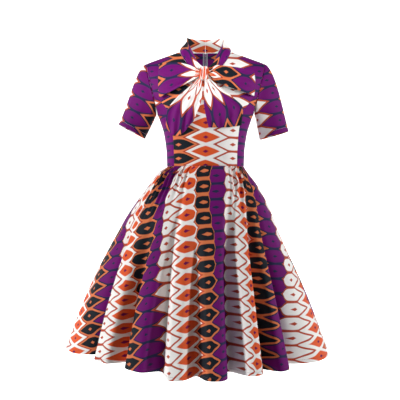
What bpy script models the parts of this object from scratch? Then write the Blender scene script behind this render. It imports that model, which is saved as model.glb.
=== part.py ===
"""A knee-length swing dress with short set-in sleeves, a gathered full skirt, a tie collar with a
soft bow, and a zip down the centre back. It is hollow, as it hangs when it is worn.

Metres, +Z up. The dress faces -Y, and +X is its left side (the viewer's right). The origin lies
midway between the shoulders, level with the side of the neck. Heights in the tables below are
measured up from the waist seam, as a pattern maker measures them.
"""

import math

import bpy
import numpy as np

# Overall sizes
WAIST_Z = -0.376
CLOTH = 0.0012
TIE_CLOTH = 0.0016
SEAM_GAP = 0.0003
SMALL_STEP = 0.002
UNDERARM = 0.175
SKIRT_DROP = 0.605

# The torso: (height, half width, depth in front, depth behind)
TORSO = np.array([
    (0.000, 0.1265, 0.092, 0.090),
    (0.050, 0.1285, 0.101, 0.093),
    (0.105, 0.1360, 0.121, 0.099),
    (0.140, 0.1460, 0.135, 0.105),
    (0.175, 0.1600, 0.131, 0.110),
    (0.195, 0.1720, 0.125, 0.113),
    (0.225, 0.1860, 0.116, 0.115),
    (0.270, 0.2020, 0.103, 0.112),
    (0.300, 0.2100, 0.096, 0.106),
    (0.345, 0.2160, 0.082, 0.096),
    (0.390, 0.2180, 0.068, 0.080),
])
SQUARENESS = 2.3

# The shoulder line: it falls from the side of the neck to the shoulder end
NECK_HALF = 0.086
NECK_SIDE = 0.378
NECK_BACK = 0.387
SHOULDER_HALF = 0.1925
SHOULDER_FALL = 0.357
NECK_RISE = 0.8
SHOULDER_TURN = 0.200
TURN_POWER = 3.0
TURN_ROOT = 2.2

# The armhole edge: (height, distance from the centre)
ARMHOLE = np.array([
    (0.175, 0.1598),
    (0.195, 0.1620),
    (0.225, 0.1690),
    (0.270, 0.1800),
    (0.300, 0.1870),
    (0.342, 0.1925),
    (0.390, 0.1930),
])

# The princess seam: (height, distance from the centre)
PRINCESS = np.array([
    (0.000, 0.1020),
    (0.060, 0.1035),
    (0.110, 0.1070),
    (0.145, 0.1130),
    (0.175, 0.1230),
    (0.205, 0.1440),
    (0.228, 0.1690),
])
PRINCESS_TOP = 0.228
PRINCESS_GAP = 0.0005
SIDE_END = 0.7
BODICE_ROWS = 13
BODICE_COLUMNS = 10
SIDE_COLUMNS = 6

# The front neckline dips from the side of the neck to the knot
NECK_FRONT = 0.300
NECK_FRONT_HALF = 0.010
NECK_SCOOP = 2.4

# The sleeves: hem centre (x, height), tilt of the hem line, half width and half depth of the hem
SLEEVES = {
    "sleeve_right": dict(side=-1, x=-0.2438, height=0.117, tilt=28.5),
    "sleeve_left": dict(side=1, x=0.2274, height=0.104, tilt=15.9),
}
SLEEVE_HALF = 0.0495
SLEEVE_DEPTH = 0.0455
SLEEVE_Y = 0.004
SLEEVE_COLUMNS = 22
SLEEVE_ROWS = 8
LOOP_POINTS = 60

# How a sleeve's lines leave the armhole and reach the hem, at the underarm and at the shoulder:
# (outwards, upwards, pull of the armhole end, pull of the hem end, gap at the seam)
SLEEVE_ENDS = np.array([
    (0.35, -0.94, 0.066, 0.099, 0.0015),
    (0.95, -0.28, 0.120, 0.220, 0.0004),
])

# The collar's upper edge from centre back to the knot: (x, y, height)
COLLAR_TOP = np.array([
    (0.0004, 0.0500, 0.4290),
    (0.0400, 0.0385, 0.4290),
    (0.0625, 0.0000, 0.4270),
    (0.0585, -0.0350, 0.3980),
    (0.0460, -0.0640, 0.3600),
    (0.0300, -0.0880, 0.3300),
    (0.0120, -0.1060, 0.3140),
])
COLLAR_RISE = 0.0009
COLLAR_COLUMNS = 20
COLLAR_ROWS = 7
COLLAR_ROLL = 0.006
ROLL_AT = 0.45
ROLL_LENGTH = 0.22

# The knot: its centre (x, y, height) and half sizes
KNOT_X = -0.006
KNOT_Y = -0.1160
KNOT_HEIGHT = 0.2905
KNOT_HALF = (0.0156, 0.0165, 0.0205)
KNOT_PLEATS = 12
KNOT_PLEAT_DEPTH = 0.045
KNOT_BLUNT = 0.6
KNOT_COLUMNS = 30
KNOT_ROWS = 7

# The bow loops: (x, height of the upper edge, height of the lower edge), from the knot outwards
LOOPS = {
    "bow_loop_right": np.array([
        (-0.0225, 0.3010, 0.2800),
        (-0.0550, 0.3200, 0.2620),
        (-0.0900, 0.3300, 0.2430),
        (-0.1480, 0.3310, 0.2175),
    ]),
    "bow_loop_left": np.array([
        (0.0105, 0.3040, 0.2790),
        (0.0400, 0.3180, 0.2600),
        (0.0850, 0.3150, 0.2430),
        (0.1550, 0.3060, 0.2230),
    ]),
}
LOOP_CLEAR = 0.0035
LOOP_PUFF = 0.013
LOOP_MOUTH = 0.35
BEHIND_FLATTER = 0.8
LOOP_PLEATS = 4
LOOP_PLEAT_DEPTH = 0.0022
LOOP_FOLD_BOW = 0.004
LOOP_COLUMNS = 25
LOOP_ROWS = 8

# The tails: (inner x, inner height, outer x, outer height), from the knot downwards
TAILS = {
    "bow_tail_right": np.array([
        (-0.0130, 0.2690, -0.0230, 0.2750),
        (-0.0120, 0.2380, -0.0580, 0.2440),
        (-0.0143, 0.2050, -0.0940, 0.2120),
        (-0.0270, 0.1690, -0.1230, 0.1700),
        (-0.0395, 0.1375, -0.1280, 0.1250),
    ]),
    "bow_tail_left": np.array([
        (-0.0030, 0.2680, 0.0125, 0.2748),
        (-0.0055, 0.2360, 0.0500, 0.2430),
        (-0.0055, 0.2020, 0.0880, 0.2130),
        (-0.0010, 0.1640, 0.1180, 0.1800),
        (0.0097, 0.1180, 0.1140, 0.1280),
    ]),
}
TAIL_POINT = {"bow_tail_right": 0.036, "bow_tail_left": 0.004}
TAIL_CLEAR = 0.0050
TAIL_PLEATS = 4
TAIL_PLEAT_DEPTH = 0.0030
FIRST_PLEAT = 0.1
PLEAT_AT_KNOT = 0.35
POINT_SKEW = 1.15
TAIL_REACH = 1.6
TAIL_COLUMNS = 17
TAIL_ROWS = 11

# How the loops and tails leave the chest to meet the knot
MOST_LEAN = 1.9
KNOT_SPREAD = 0.2
KNOT_PULL = 0.42

# The skirt's profile: (height, half width, sideways shift of the centre)
SKIRT = np.array([
    (0.000, 0.1265, 0.000),
    (-0.015, 0.1425, -0.007),
    (-0.035, 0.1600, -0.008),
    (-0.060, 0.1780, -0.008),
    (-0.112, 0.2130, -0.012),
    (-0.165, 0.2430, -0.018),
    (-0.210, 0.2640, -0.022),
    (-0.255, 0.2865, -0.0245),
    (-0.353, 0.3350, -0.0265),
    (-0.449, 0.3770, -0.0265),
    (-0.605, 0.4355, -0.0245),
])
WAIST_FLAT = 0.0350
HEM_FLAT = 0.0220

# How much lower the hem hangs than the skirt's drop: (angle at the hem, extra drop)
HEM_DROP = np.array([
    (-180.0, 0.000),
    (-110.0, -0.010),
    (-80.0, -0.030),
    (-50.0, -0.030),
    (-34.0, -0.021),
    (-20.0, -0.007),
    (-9.0, 0.009),
    (9.0, 0.009),
    (14.0, 0.003),
    (30.0, -0.002),
    (52.0, -0.011),
    (80.0, -0.006),
    (110.0, 0.000),
    (180.0, 0.000),
])

# Where a length of hem is gathered into the waist seam: (angle at the hem, angle at the waist)
SPREAD = np.array([
    (-180.0, -180.0),
    (-88.0, -90.0),
    (-46.0, -72.0),
    (-30.0, -32.0),
    (0.0, 0.0),
    (11.7, 29.0),
    (26.5, 60.0),
    (39.0, 72.0),
    (88.0, 90.0),
    (180.0, 180.0),
])

# The skirt's folds, by angle from the centre front at the hem:
# (crest, outer edge of the crest, valley, depth of the valley, share of the drop where it starts)
FOLDS = np.array([
    (-165.0, -170.0, -176.0, 0.034, 0.22),
    (-145.0, -150.0, -156.0, 0.042, 0.12),
    (-122.0, -128.0, -134.0, 0.046, 0.08),
    (-99.0, -105.0, -110.0, 0.040, 0.15),
    (-62.0, -76.0, -84.0, 0.036, 0.10),
    (-38.0, -45.0, -48.5, 0.048, 0.16),
    (-23.0, -29.3, -31.8, 0.044, 0.22),
    (-8.0, -11.0, -15.5, 0.022, 0.10),
    (7.0, 3.8, 0.0, 0.020, 0.35),
    (8.4, 11.4, 14.0, 0.046, 0.06),
    (21.5, 26.0, 28.4, 0.046, 0.03),
    (34.0, 38.6, 41.4, 0.042, 0.05),
    (56.0, 72.0, 80.0, 0.036, 0.10),
    (97.0, 104.0, 109.0, 0.042, 0.12),
    (121.0, 127.0, 133.0, 0.046, 0.08),
    (143.0, 149.0, 156.0, 0.040, 0.14),
    (166.0, 170.0, 176.0, 0.034, 0.22),
])
EDGE_DROP = 0.003
FOLD_END = 1.05
FOLD_EASE = 0.8
SIDE_SEAM = 88.0
SEAM_ANGLE = 0.16
FRONT_COLUMNS = 76
BACK_COLUMNS = 36
WAIST_WEIGHT = 2.2
DENSE = 600
SKIRT_ROWS = np.array([0, 0.02, 0.05, 0.09, 0.14, 0.21, 0.30, 0.41, 0.54, 0.69, 0.84, 1.0])

# The gathers at the waist seam, with none across the centre front
GATHERS = 34
GATHER_DEPTH = 0.0024
GATHER_PEAK = 0.035
GATHER_FADE = 0.17
GATHER_AT_SEAM = 0.35
FLAT_FRONT = 26.0
FLAT_BACK = 9.0
FLAT_FADE = 10.0
ROUND_FROM = 0.25

# The zip: tapes inside the centre back, the slider and its pull tab outside it
ZIP_ROWS = 6
TAPE_COLUMNS = 3
TAPE_PANEL_COLUMNS = 4
TAPE_WIDTH = 0.0118
TAPE = 0.0010
TAPE_GAP = 0.0006
BACK_GAP = 0.0008
SLIDER_HEIGHT = 0.371
SLIDER_TILT = 27.0
SLIDER_BASE = (0.0072, 0.0013, 0.0095)
BASE_CLEAR = 0.0005
PIN_OUT = 0.0045
PIN_RADIUS = 0.0009
PIN_CLEAR = 0.0001
EAR_X = 0.0027
EAR_THICK = 0.0012
EAR_LONG = 0.0034
EAR_TOP = 0.0012
EYE_WALL = 0.0010
EYE_WIDTH = 0.0030
TAB_TILT = 20.5
TAB_THICK = 0.0013
TAB_NECK = (0.0030, 0.0055)
TAB_BLADE = (0.0062, 0.0185)
BLADE_FROM = 0.7

PURPLE = (0.19, 0.004, 0.19)
TAPE_GREY = (0.55, 0.57, 0.60)
NICKEL = (0.62, 0.62, 0.64)


def through(rows, column, at):
    """A smooth curve through one column of a table, read at values of its first column."""
    x = rows[:, 0]
    y = rows[:, column]
    order = np.argsort(x)
    x, y = x[order], y[order]
    step = np.diff(x)
    rise = np.diff(y) / step
    slope = np.empty_like(y)
    slope[0], slope[-1] = rise[0], rise[-1]
    same_way = rise[:-1] * rise[1:] > 0
    total = rise[:-1] + rise[1:]
    slope[1:-1] = np.where(same_way, 2 * rise[:-1] * rise[1:] / np.where(total == 0, 1, total), 0)
    at = np.clip(np.asarray(at, float), x[0], x[-1])
    i = np.clip(np.searchsorted(x, at) - 1, 0, len(x) - 2)
    t = (at - x[i]) / step[i]
    return (
        (1 + 2 * t) * (1 - t) ** 2 * y[i]
        + t * (1 - t) ** 2 * step[i] * slope[i]
        + t * t * (3 - 2 * t) * y[i + 1]
        + t * t * (t - 1) * step[i] * slope[i + 1]
    )


def along(points, share):
    """A smooth curve through a short list of points, read at shares 0 to 1 of its length."""
    chord = np.r_[0, np.cumsum(np.linalg.norm(np.diff(points, axis=0), axis=1))]
    rows = np.column_stack([chord / chord[-1], points])
    return np.stack([through(rows, k + 1, share) for k in range(points.shape[1])], axis=-1)


def ease(t):
    """0 before 0, 1 after 1, and a smooth step between."""
    t = np.clip(t, 0, 1)
    return t * t * (3 - 2 * t)


def normals(points, closed=False):
    """Unit normals of a grid of points, from its two directions. A closed grid wraps its columns."""
    if closed:
        wide = np.concatenate([points[-1:], points, points[:1]])
        across = wide[2:] - wide[:-2]
    else:
        across = np.gradient(points, axis=0, edge_order=2)
    up = np.gradient(points, axis=1, edge_order=2)
    normal = np.cross(across, up)
    return normal / np.maximum(np.linalg.norm(normal, axis=-1, keepdims=True), 1e-12)


def material(name, colour, roughness, metallic=0.0):
    made = bpy.data.materials.new(name)
    made.use_nodes = True
    shader = made.node_tree.nodes["Principled BSDF"]
    shader.inputs["Base Color"].default_value = (*colour, 1.0)
    shader.inputs["Roughness"].default_value = roughness
    shader.inputs["Metallic"].default_value = metallic
    return made


def add_mesh(name, points, faces, finish):
    mesh = bpy.data.meshes.new(name)
    mesh.from_pydata(points.tolist(), [], faces)
    mesh.materials.append(finish)
    mesh.validate()
    mesh.shade_smooth()
    placed = bpy.data.objects.new(name, mesh)
    bpy.context.collection.objects.link(placed)
    return placed


def quads(near, far):
    """Quads between two rows of point numbers."""
    return np.column_stack([near[:-1], near[1:], far[1:], far[:-1]])


def turned(faces):
    """The same quads facing the other way, each cut along the same diagonal."""
    return faces[:, [0, 3, 2, 1]]


def moved_in(outer, distance, closed=False, flip=False):
    """A grid moved inwards along its normals. flip is for a grid whose normals point inwards."""
    return outer + normals(outer, closed) * (distance if flip else -distance)


def wall(name, outer, inner, finish, closed=False, flip=False):
    """A wall of cloth: a grid of outer points, its inner points, and the rim between them."""
    columns, rows = outer.shape[:2]
    points = np.concatenate([outer.reshape(-1, 3), inner.reshape(-1, 3)])
    number = np.arange(columns * rows).reshape(columns, rows)
    if closed:
        number = np.concatenate([number, number[:1]])
    under = number + columns * rows
    faces = [quads(number[:, k], number[:, k + 1]) for k in range(rows - 1)]
    faces += [turned(quads(under[:, k], under[:, k + 1])) for k in range(rows - 1)]
    faces.append(quads(under[:, 0], number[:, 0]))
    faces.append(quads(number[:, -1], under[:, -1]))
    if not closed:
        faces.append(quads(number[0], under[0]))
        faces.append(quads(under[-1], number[-1]))
    faces = np.concatenate(faces)
    add_mesh(name, points, (turned(faces) if flip else faces).tolist(), finish)


def cloth(name, outer, thickness, finish, closed=False, flip=False):
    wall(name, outer, moved_in(outer, thickness, closed, flip), finish, closed, flip)


def to_world(x, y, height):
    return np.stack(np.broadcast_arrays(x, y, height + WAIST_Z), axis=-1)


# The form of the bodice

def shoulder_line(x):
    """Height of the top of the shoulder. It goes on rising towards the middle of the neck."""
    out = np.abs(x) - NECK_HALF
    return NECK_SIDE - np.where(out > 0, SHOULDER_FALL, NECK_RISE) * out


def turn(x, height):
    """1 on the chest, falling to 0 where the cloth turns over the shoulder line."""
    t = np.clip((height - SHOULDER_TURN) / (shoulder_line(x) - SHOULDER_TURN), 0, 1)
    return (1 - t**TURN_POWER) ** (1 / TURN_ROOT)


def depth(x, height, column):
    """Distance of the cloth from the middle plane, in front (column 2) or behind (column 3)."""
    share = np.clip(np.abs(x) / through(TORSO, 1, height), 0, 1)
    side = (1 - share**SQUARENESS) ** (1 / SQUARENESS)
    return through(TORSO, column, height) * side * turn(x, height)


def armhole_x(height):
    """Distance of the armhole edge from the centre. Below the underarm it is the side seam."""
    return np.where(height < UNDERARM, through(TORSO, 1, height), through(ARMHOLE, 1, height))


def across_angle(x, height):
    return np.arcsin(np.clip(x / through(TORSO, 1, height), -1, 1))


def torso_points(angle, height, column, side=1):
    """Points of the form by angle across the body, in front (column 2) or behind (column 3)."""
    x = through(TORSO, 1, height) * np.sin(angle)
    facing = -1 if column == 2 else 1
    return to_world(side * x, facing * (depth(x, height, column) + SEAM_GAP), height)


def torso_inside(angle, height, column, side, distance):
    """The same points moved in along the form's normals, and kept on their side of the seams."""
    step = SMALL_STEP
    size = np.abs(angle)
    across = torso_points(np.minimum(size + step, math.pi / 2), height, column)
    across = across - torso_points(size - step, height, column)
    up = torso_points(size, height + step, column) - torso_points(size, height - step, column)
    normal = np.cross(across, up) * (1 if column == 2 else -1)
    normal /= np.linalg.norm(normal, axis=-1, keepdims=True)
    normal[..., 0] *= side * np.where(angle < 0, -1, 1)
    points = torso_points(angle, height, column, side) - normal * distance
    facing = -1 if column == 2 else 1
    points[..., 1] = facing * np.maximum(facing * points[..., 1], SEAM_GAP / 2)
    return points


def between(inner_x, outer_x, height, share):
    """Angles across the body, evenly spaced from a panel's inner edge to its outer edge."""
    low = across_angle(inner_x, height)
    return low + (across_angle(outer_x, height) - low) * share


def bodice_wall(name, angle, height, column, side=1):
    outer = torso_points(angle, height, column, side)
    inner = torso_inside(angle, height, column, side, CLOTH)
    wall(name, outer, inner, PRINT, flip=(side > 0) == (column == 3))


def neckline(x):
    """Height of the front neckline at a distance from the centre."""
    share = np.clip((np.abs(x) - NECK_FRONT_HALF) / (NECK_HALF - NECK_FRONT_HALF), 0, 1)
    return NECK_FRONT + (NECK_SIDE - NECK_FRONT) * share**NECK_SCOOP


def back_neckline(x):
    share = np.clip(np.abs(x) / NECK_HALF, 0, 1)
    return NECK_BACK + (NECK_SIDE - NECK_BACK) * share**2


def rising_heights(top, rows):
    """Heights from the waist seam to the top edge, closer together near the top."""
    v = np.linspace(0, 1, rows)
    return SEAM_GAP + (top[:, None] - SEAM_GAP) * np.sin(v * math.pi / 2)[None, :]


def panel_top(share, inner_x, edge_x, neck):
    """Height where each column of a panel ends: on the neckline, or else on the shoulder line."""
    top = np.full(len(share), NECK_SIDE)
    for _ in range(20):
        angle = between(inner_x, edge_x(top), top, np.abs(share))
        x = through(TORSO, 1, top) * np.sin(angle)
        top = np.where(x < NECK_HALF, neck(x), shoulder_line(x))
    return top


def neck_corner(inner_x):
    """The share of a panel's width at which its top turns from the neckline to the shoulder."""
    low, corner, high = across_angle(np.array([inner_x, NECK_HALF, armhole_x(NECK_SIDE)]), NECK_SIDE)
    return (corner - low) / (high - low)


def front_edge(height):
    """The front panel's outer edge: the princess seam, then the armhole."""
    princess = through(PRINCESS, 1, height) - SEAM_GAP / 2
    return np.where(height < PRINCESS_TOP, np.minimum(princess, armhole_x(height)), armhole_x(height))


def princess_rows():
    """Heights of the points along the princess seam, which both of its panels share."""
    end = shoulder_line(SHOULDER_HALF)
    height = rising_heights(np.array([end]), BODICE_ROWS)[0]
    height[np.argmin(np.abs(height - PRINCESS_TOP))] = PRINCESS_TOP
    return height


def front_grid():
    """Angles and heights of the front panel, from its right edge to its left edge."""
    share = np.linspace(-1, 1, 2 * BODICE_COLUMNS - 1)
    corner = neck_corner(0)
    for sign in (-1, 1):
        share[np.argmin(np.abs(share - sign * corner))] = sign * corner
    height = rising_heights(panel_top(share, 0, front_edge, neckline), BODICE_ROWS)
    height[[0, -1]] = princess_rows()
    return across_angle(front_edge(height), height) * share[:, None], height


def bodice_front():
    angle, height = front_grid()
    bodice_wall("bodice_front", angle, height, 2)


def bodice_side(name, side):
    """The side front: from the side seam to the princess seam, narrowing up to the armhole."""
    height = princess_rows()
    height = height[height <= PRINCESS_TOP]
    seam = front_edge(height) + PRINCESS_GAP
    edge = np.append(armhole_x(height)[:-1], seam[-1])
    angle = between(seam, edge, height, np.linspace(0, 1, SIDE_COLUMNS)[:, None])
    height = height + 0 * angle
    outer = torso_points(angle, height, 2, side)
    inner = torso_inside(angle, height, 2, side, CLOTH)
    for points in (outer, inner):
        points[:, -1] = points[:, -2] + SIDE_END * (points[:, -1] - points[:, -2])
    wall(name, outer, inner, PRINT, flip=side < 0)


def back_grid():
    """Angles and heights of a back panel, from the centre back to the side and the armhole."""
    share = np.linspace(0, 1, BODICE_COLUMNS)
    corner = neck_corner(BACK_GAP)
    share[np.argmin(np.abs(share - corner))] = corner
    height = rising_heights(panel_top(share, BACK_GAP, armhole_x, back_neckline), BODICE_ROWS)
    return between(BACK_GAP, armhole_x(height), height, share[:, None]), height


def bodice_back(name, side):
    angle, height = back_grid()
    bodice_wall(name, angle, height, 3, side)


def armhole_loop(count):
    """The armhole's edge as a closed loop on the +X side: up the front from the underarm, then down."""
    end = shoulder_line(SHOULDER_HALF)
    height = UNDERARM + (end - UNDERARM) * np.sin(np.linspace(0, 1, LOOP_POINTS) * math.pi / 2)
    x = armhole_x(height)
    front = np.column_stack([x, -depth(x, height, 2), height])
    back = np.column_stack([x, depth(x, height, 3), height])[::-1]
    loop = np.concatenate([front, back[1:]])
    length = np.r_[0, np.cumsum(np.linalg.norm(np.diff(loop, axis=0), axis=1))]
    at = np.linspace(0, length[-1], count, endpoint=False)
    return np.column_stack([np.interp(at, length, loop[:, k]) for k in range(3)])


def sleeve(name, side, x, height, tilt):
    """A short sleeve: each line leaves the armhole along the shoulder and ends square to the hem."""
    turn_on = np.linspace(0, 2 * math.pi, SLEEVE_COLUMNS, endpoint=False)
    top_share = (1 - np.cos(turn_on))[:, None] / 2
    ends = SLEEVE_ENDS[0] + (SLEEVE_ENDS[1] - SLEEVE_ENDS[0]) * top_share
    start = armhole_loop(SLEEVE_COLUMNS)
    start[:, 0] += ends[:, 4]
    lean = math.radians(tilt)
    hem_line = np.array([math.cos(lean), 0, math.sin(lean)])
    axis = np.array([math.sin(lean), 0, -math.cos(lean)])
    end = (
        np.array([abs(x), SLEEVE_Y, height])
        - SLEEVE_HALF * np.cos(turn_on)[:, None] * hem_line
        - SLEEVE_DEPTH * np.sin(turn_on)[:, None] * np.array([0, 1, 0])
    )
    leaving = np.column_stack([ends[:, 0], np.zeros(SLEEVE_COLUMNS), ends[:, 1]]) * ends[:, 2:3]
    arriving = axis * ends[:, 3:4]
    v = np.linspace(0, 1, SLEEVE_ROWS)[None, :, None]
    points = (
        (1 + 2 * v) * (1 - v) ** 2 * start[:, None]
        + v * (1 - v) ** 2 * leaving[:, None]
        + v * v * (3 - 2 * v) * end[:, None]
        + v * v * (v - 1) * arriving[:, None]
    )
    points[..., 0] *= side
    points[..., 2] += WAIST_Z
    cloth(name, points, CLOTH, PRINT, closed=True, flip=side > 0)


def neck_seam():
    """The neck edges of the back and front panels on the +X side, from the centre back to the knot."""
    back = torso_points(*[part[:, -1] for part in back_grid()], 3)
    front = torso_points(*[part[:, -1] for part in front_grid()], 2)[::-1]
    on_neck = (front[:, 0] < NECK_HALF + SEAM_GAP) & (front[:, 0] > NECK_FRONT_HALF)
    return np.concatenate([back[back[:, 0] < NECK_HALF - SEAM_GAP], front[on_neck]])


def collar_half(name, side):
    """Half of the standing tie collar, from the centre back round the neck and down to the knot."""
    share = np.linspace(0, 1, COLLAR_COLUMNS)
    edge = neck_seam()
    length = np.r_[0, np.cumsum(np.linalg.norm(np.diff(edge, axis=0), axis=1))]
    seam = np.column_stack([np.interp(share * length[-1], length, edge[:, k]) for k in range(3)])
    top = along(COLLAR_TOP, share) + (0, 0, WAIST_Z)
    rise = top - seam
    seam = seam + rise / np.linalg.norm(rise, axis=1)[:, None] * COLLAR_RISE
    v = np.linspace(0, 1, COLLAR_ROWS)
    points = seam[:, None] + (top - seam)[:, None] * v[None, :, None]
    outwards = seam * (1, 1, 0)
    outwards /= np.linalg.norm(outwards, axis=1)[:, None]
    at_side = np.exp(-(((share - ROLL_AT) / ROLL_LENGTH) ** 2))
    roll = COLLAR_ROLL * at_side[:, None] * np.sin(2 * math.pi * v)[None, :]
    points = points + outwards[:, None] * roll[..., None]
    points[..., 0] *= side
    cloth(name, points, CLOTH, PRINT, flip=side > 0)


def bow_knot():
    """The tie wrapped round itself: a rounded block with upright pleats and closed ends."""
    around = np.linspace(0, 2 * math.pi, KNOT_COLUMNS, endpoint=False)[:, None]
    up = np.linspace(-0.5, 0.5, KNOT_ROWS + 2)[None, 1:-1] * math.pi
    pleat = 1 + KNOT_PLEAT_DEPTH * np.cos(KNOT_PLEATS * around) * np.sqrt(np.cos(up))
    flat = np.cos(up) ** KNOT_BLUNT * pleat
    x = KNOT_X + KNOT_HALF[0] * np.cos(around) * flat
    y = KNOT_Y + KNOT_HALF[1] * np.sin(around) * flat
    height = KNOT_HEIGHT + KNOT_HALF[2] * np.sin(up) + 0 * x
    ends = to_world(KNOT_X, KNOT_Y, KNOT_HEIGHT + KNOT_HALF[2] * np.array([-1, 1]))
    points = np.concatenate([to_world(x, y, height).reshape(-1, 3), ends])
    number = np.arange(KNOT_COLUMNS * KNOT_ROWS).reshape(KNOT_COLUMNS, KNOT_ROWS)
    number = np.concatenate([number, number[:1]])
    bottom, top = len(points) - 2, len(points) - 1
    faces = np.concatenate([
        quads(number[:, k], number[:, k + 1]) for k in range(KNOT_ROWS - 1)
    ]).tolist()
    faces += [(bottom, b, a) for a, b in zip(number[:-1, 0].tolist(), number[1:, 0].tolist())]
    faces += [(top, a, b) for a, b in zip(number[:-1, -1].tolist(), number[1:, -1].tolist())]
    add_mesh("bow_knot", points, faces, PRINT)


def chest_lean(x, height):
    """How much further a step straight forward is than one square to the chest."""
    step = SMALL_STEP
    across = (depth(np.abs(x) + step, height, 2) - depth(np.abs(x) - step, height, 2)) / (2 * step)
    up = (depth(x, height + step, 2) - depth(x, height - step, 2)) / (2 * step)
    return np.clip(np.sqrt(1 + across**2 + up**2), 1, MOST_LEAN)


def fan_depth(x, height, out, share):
    """Forward of the chest, and near the knot drawn forward to meet the knot's side."""
    on_chest = -depth(x, height, 2) - SEAM_GAP - out * chest_lean(x, height)
    at_knot = KNOT_Y - out * KNOT_SPREAD
    pull = 1 - ease(share / KNOT_PULL)
    return on_chest + (np.minimum(at_knot, on_chest) - on_chest) * pull


def bow_loop(name, rows_of_edges):
    """A loop of the bow: the tie goes out over the chest, folds, and comes back under itself."""
    path = np.linspace(0, 1, LOOP_COLUMNS)[:, None]
    reach = np.sin((1 - np.abs(2 * path - 1)) * math.pi / 2)
    edges = along(rows_of_edges, reach[:, 0])
    v = np.linspace(0, 1, LOOP_ROWS)[None, :]
    height = edges[:, 2:3] + (edges[:, 1:2] - edges[:, 2:3]) * v
    x = edges[:, :1] * (1 + 0 * v)
    x = x + np.sign(x) * LOOP_FOLD_BOW * np.sin(math.pi * v) * reach**3
    front = np.where(path < 0.5, 1.0, -1.0)
    swell = LOOP_MOUTH + (1 - LOOP_MOUTH) * ease(2 * reach)
    open_half = LOOP_PUFF / 2 * np.sqrt(1 - reach**4) * swell
    pleats = np.cos(2 * math.pi * LOOP_PLEATS * v) * LOOP_PLEAT_DEPTH * (1 - reach**2)
    pleats = pleats * (1 - BEHIND_FLATTER * (front < 0))
    out = LOOP_CLEAR + LOOP_PUFF / 2 + front * open_half + pleats
    y = fan_depth(x, height, out, reach)
    cloth(name, to_world(x, y, height), CLOTH, PRINT, flip=name.endswith("right"))


def bow_tail(name, rows_of_edges):
    """A tail of the bow: gathered at the knot, it fans out over the bust in soft pleats."""
    down = np.linspace(0, 1, TAIL_ROWS)
    edges = along(rows_of_edges, down)
    u = np.linspace(0, 1, TAIL_COLUMNS)[:, None]
    x = edges[:, 0] + (edges[:, 2] - edges[:, 0]) * u
    height = edges[:, 1] + (edges[:, 3] - edges[:, 1]) * u
    point = TAIL_POINT[name] * np.sin(math.pi * u**POINT_SKEW) * ease(2 * down - 1)
    pleats = np.cos(2 * math.pi * (TAIL_PLEATS * u + FIRST_PLEAT))
    pleats = pleats * (PLEAT_AT_KNOT + (1 - PLEAT_AT_KNOT) * down)
    out = TAIL_CLEAR + TAIL_PLEAT_DEPTH * pleats
    y = fan_depth(x, height - point, out, down * TAIL_REACH)
    cloth(name, to_world(x, y, height - point), TIE_CLOTH, PRINT, flip=name.endswith("left"))


# The form of the skirt

def hem_curve():
    """The folds along the hem: angles and drops inwards, with the share of the drop each starts at."""
    rows = []
    for crest, edge, valley, fold_depth, start in FOLDS:
        rows.append((crest, 0.0, start))
        rows.append((edge, EDGE_DROP, start))
        rows.append((valley, fold_depth, start))
    rows.sort(key=lambda row: row[0])
    angles = np.array([row[0] for row in rows])
    drops = np.array([row[1] for row in rows])
    starts = np.array([row[2] for row in rows])
    ring = np.concatenate([angles[-3:] - 360, angles, angles[:3] + 360])
    drops = np.concatenate([drops[-3:], drops, drops[:3]])
    starts = np.concatenate([starts[-3:], starts, starts[:3]])
    return np.column_stack([ring, drops, starts])


def skirt_points(angle, down):
    """Points of the skirt by angle at the hem, in degrees, and share of the drop from the waist."""
    ring = hem_curve()
    angle = np.asarray(angle, float)[:, None]
    down = np.asarray(down, float)[None, :]
    height = -SKIRT_DROP * down
    half = through(SKIRT, 1, height)
    grown = (half - SKIRT[0, 1]) / (SKIRT[-1, 1] - SKIRT[0, 1])
    waist = np.radians(through(SPREAD, 1, angle))
    hem = np.radians(angle)
    sine = (1 - grown) * SKIRT[0, 1] * np.sin(waist) + grown * SKIRT[-1, 1] * np.sin(hem)
    cosine = (1 - grown) * SKIRT[0, 1] * np.cos(waist) + grown * SKIRT[-1, 1] * np.cos(hem)
    size = np.hypot(sine, cosine)
    sine, cosine = sine / size, cosine / size
    start = through(ring, 2, angle)
    fold = through(ring, 1, angle) * ease((down - start) / (FOLD_END - start)) ** FOLD_EASE
    off_front = np.abs(np.degrees(waist))
    gathered = ease((off_front - FLAT_FRONT) / FLAT_FADE)
    gathered = gathered * ease((180 - FLAT_BACK - off_front) / FLAT_FADE)
    gather = GATHER_DEPTH * (1 - np.cos(GATHERS * waist)) / 2 * gathered
    gather = gather * np.exp(-(((down - GATHER_PEAK) / GATHER_FADE) ** 2))
    gather = gather * ease(down / GATHER_PEAK + GATHER_AT_SEAM)
    flat = WAIST_FLAT + (HEM_FLAT - WAIST_FLAT) * down
    power = 2 / (SQUARENESS + (2 - SQUARENESS) * ease(down / ROUND_FROM))
    drop = fold + gather
    x = (half - drop) * np.sign(sine) * np.abs(sine) ** power + through(SKIRT, 2, height)
    y = -(half - flat - drop) * np.sign(cosine) * np.abs(cosine) ** power
    height = height - SEAM_GAP * (down == 0) - through(HEM_DROP, 1, angle) * down**2
    return to_world(x, y, height)


def skirt_grid(start, end, columns):
    """Outer points of a skirt panel, closer together where more cloth is gathered in."""
    dense = np.linspace(start, end, DENSE)
    waist = np.radians(through(SPREAD, 1, dense)) * SKIRT[0, 1] * WAIST_WEIGHT
    edge = skirt_points(dense, [1.0])[:, 0]
    hem = np.r_[0, np.cumsum(np.linalg.norm(np.diff(edge, axis=0), axis=1))]
    weight = hem + (waist - waist[0])
    angle = np.interp(np.linspace(0, weight[-1], columns), weight, dense)
    return skirt_points(angle, SKIRT_ROWS)


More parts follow.
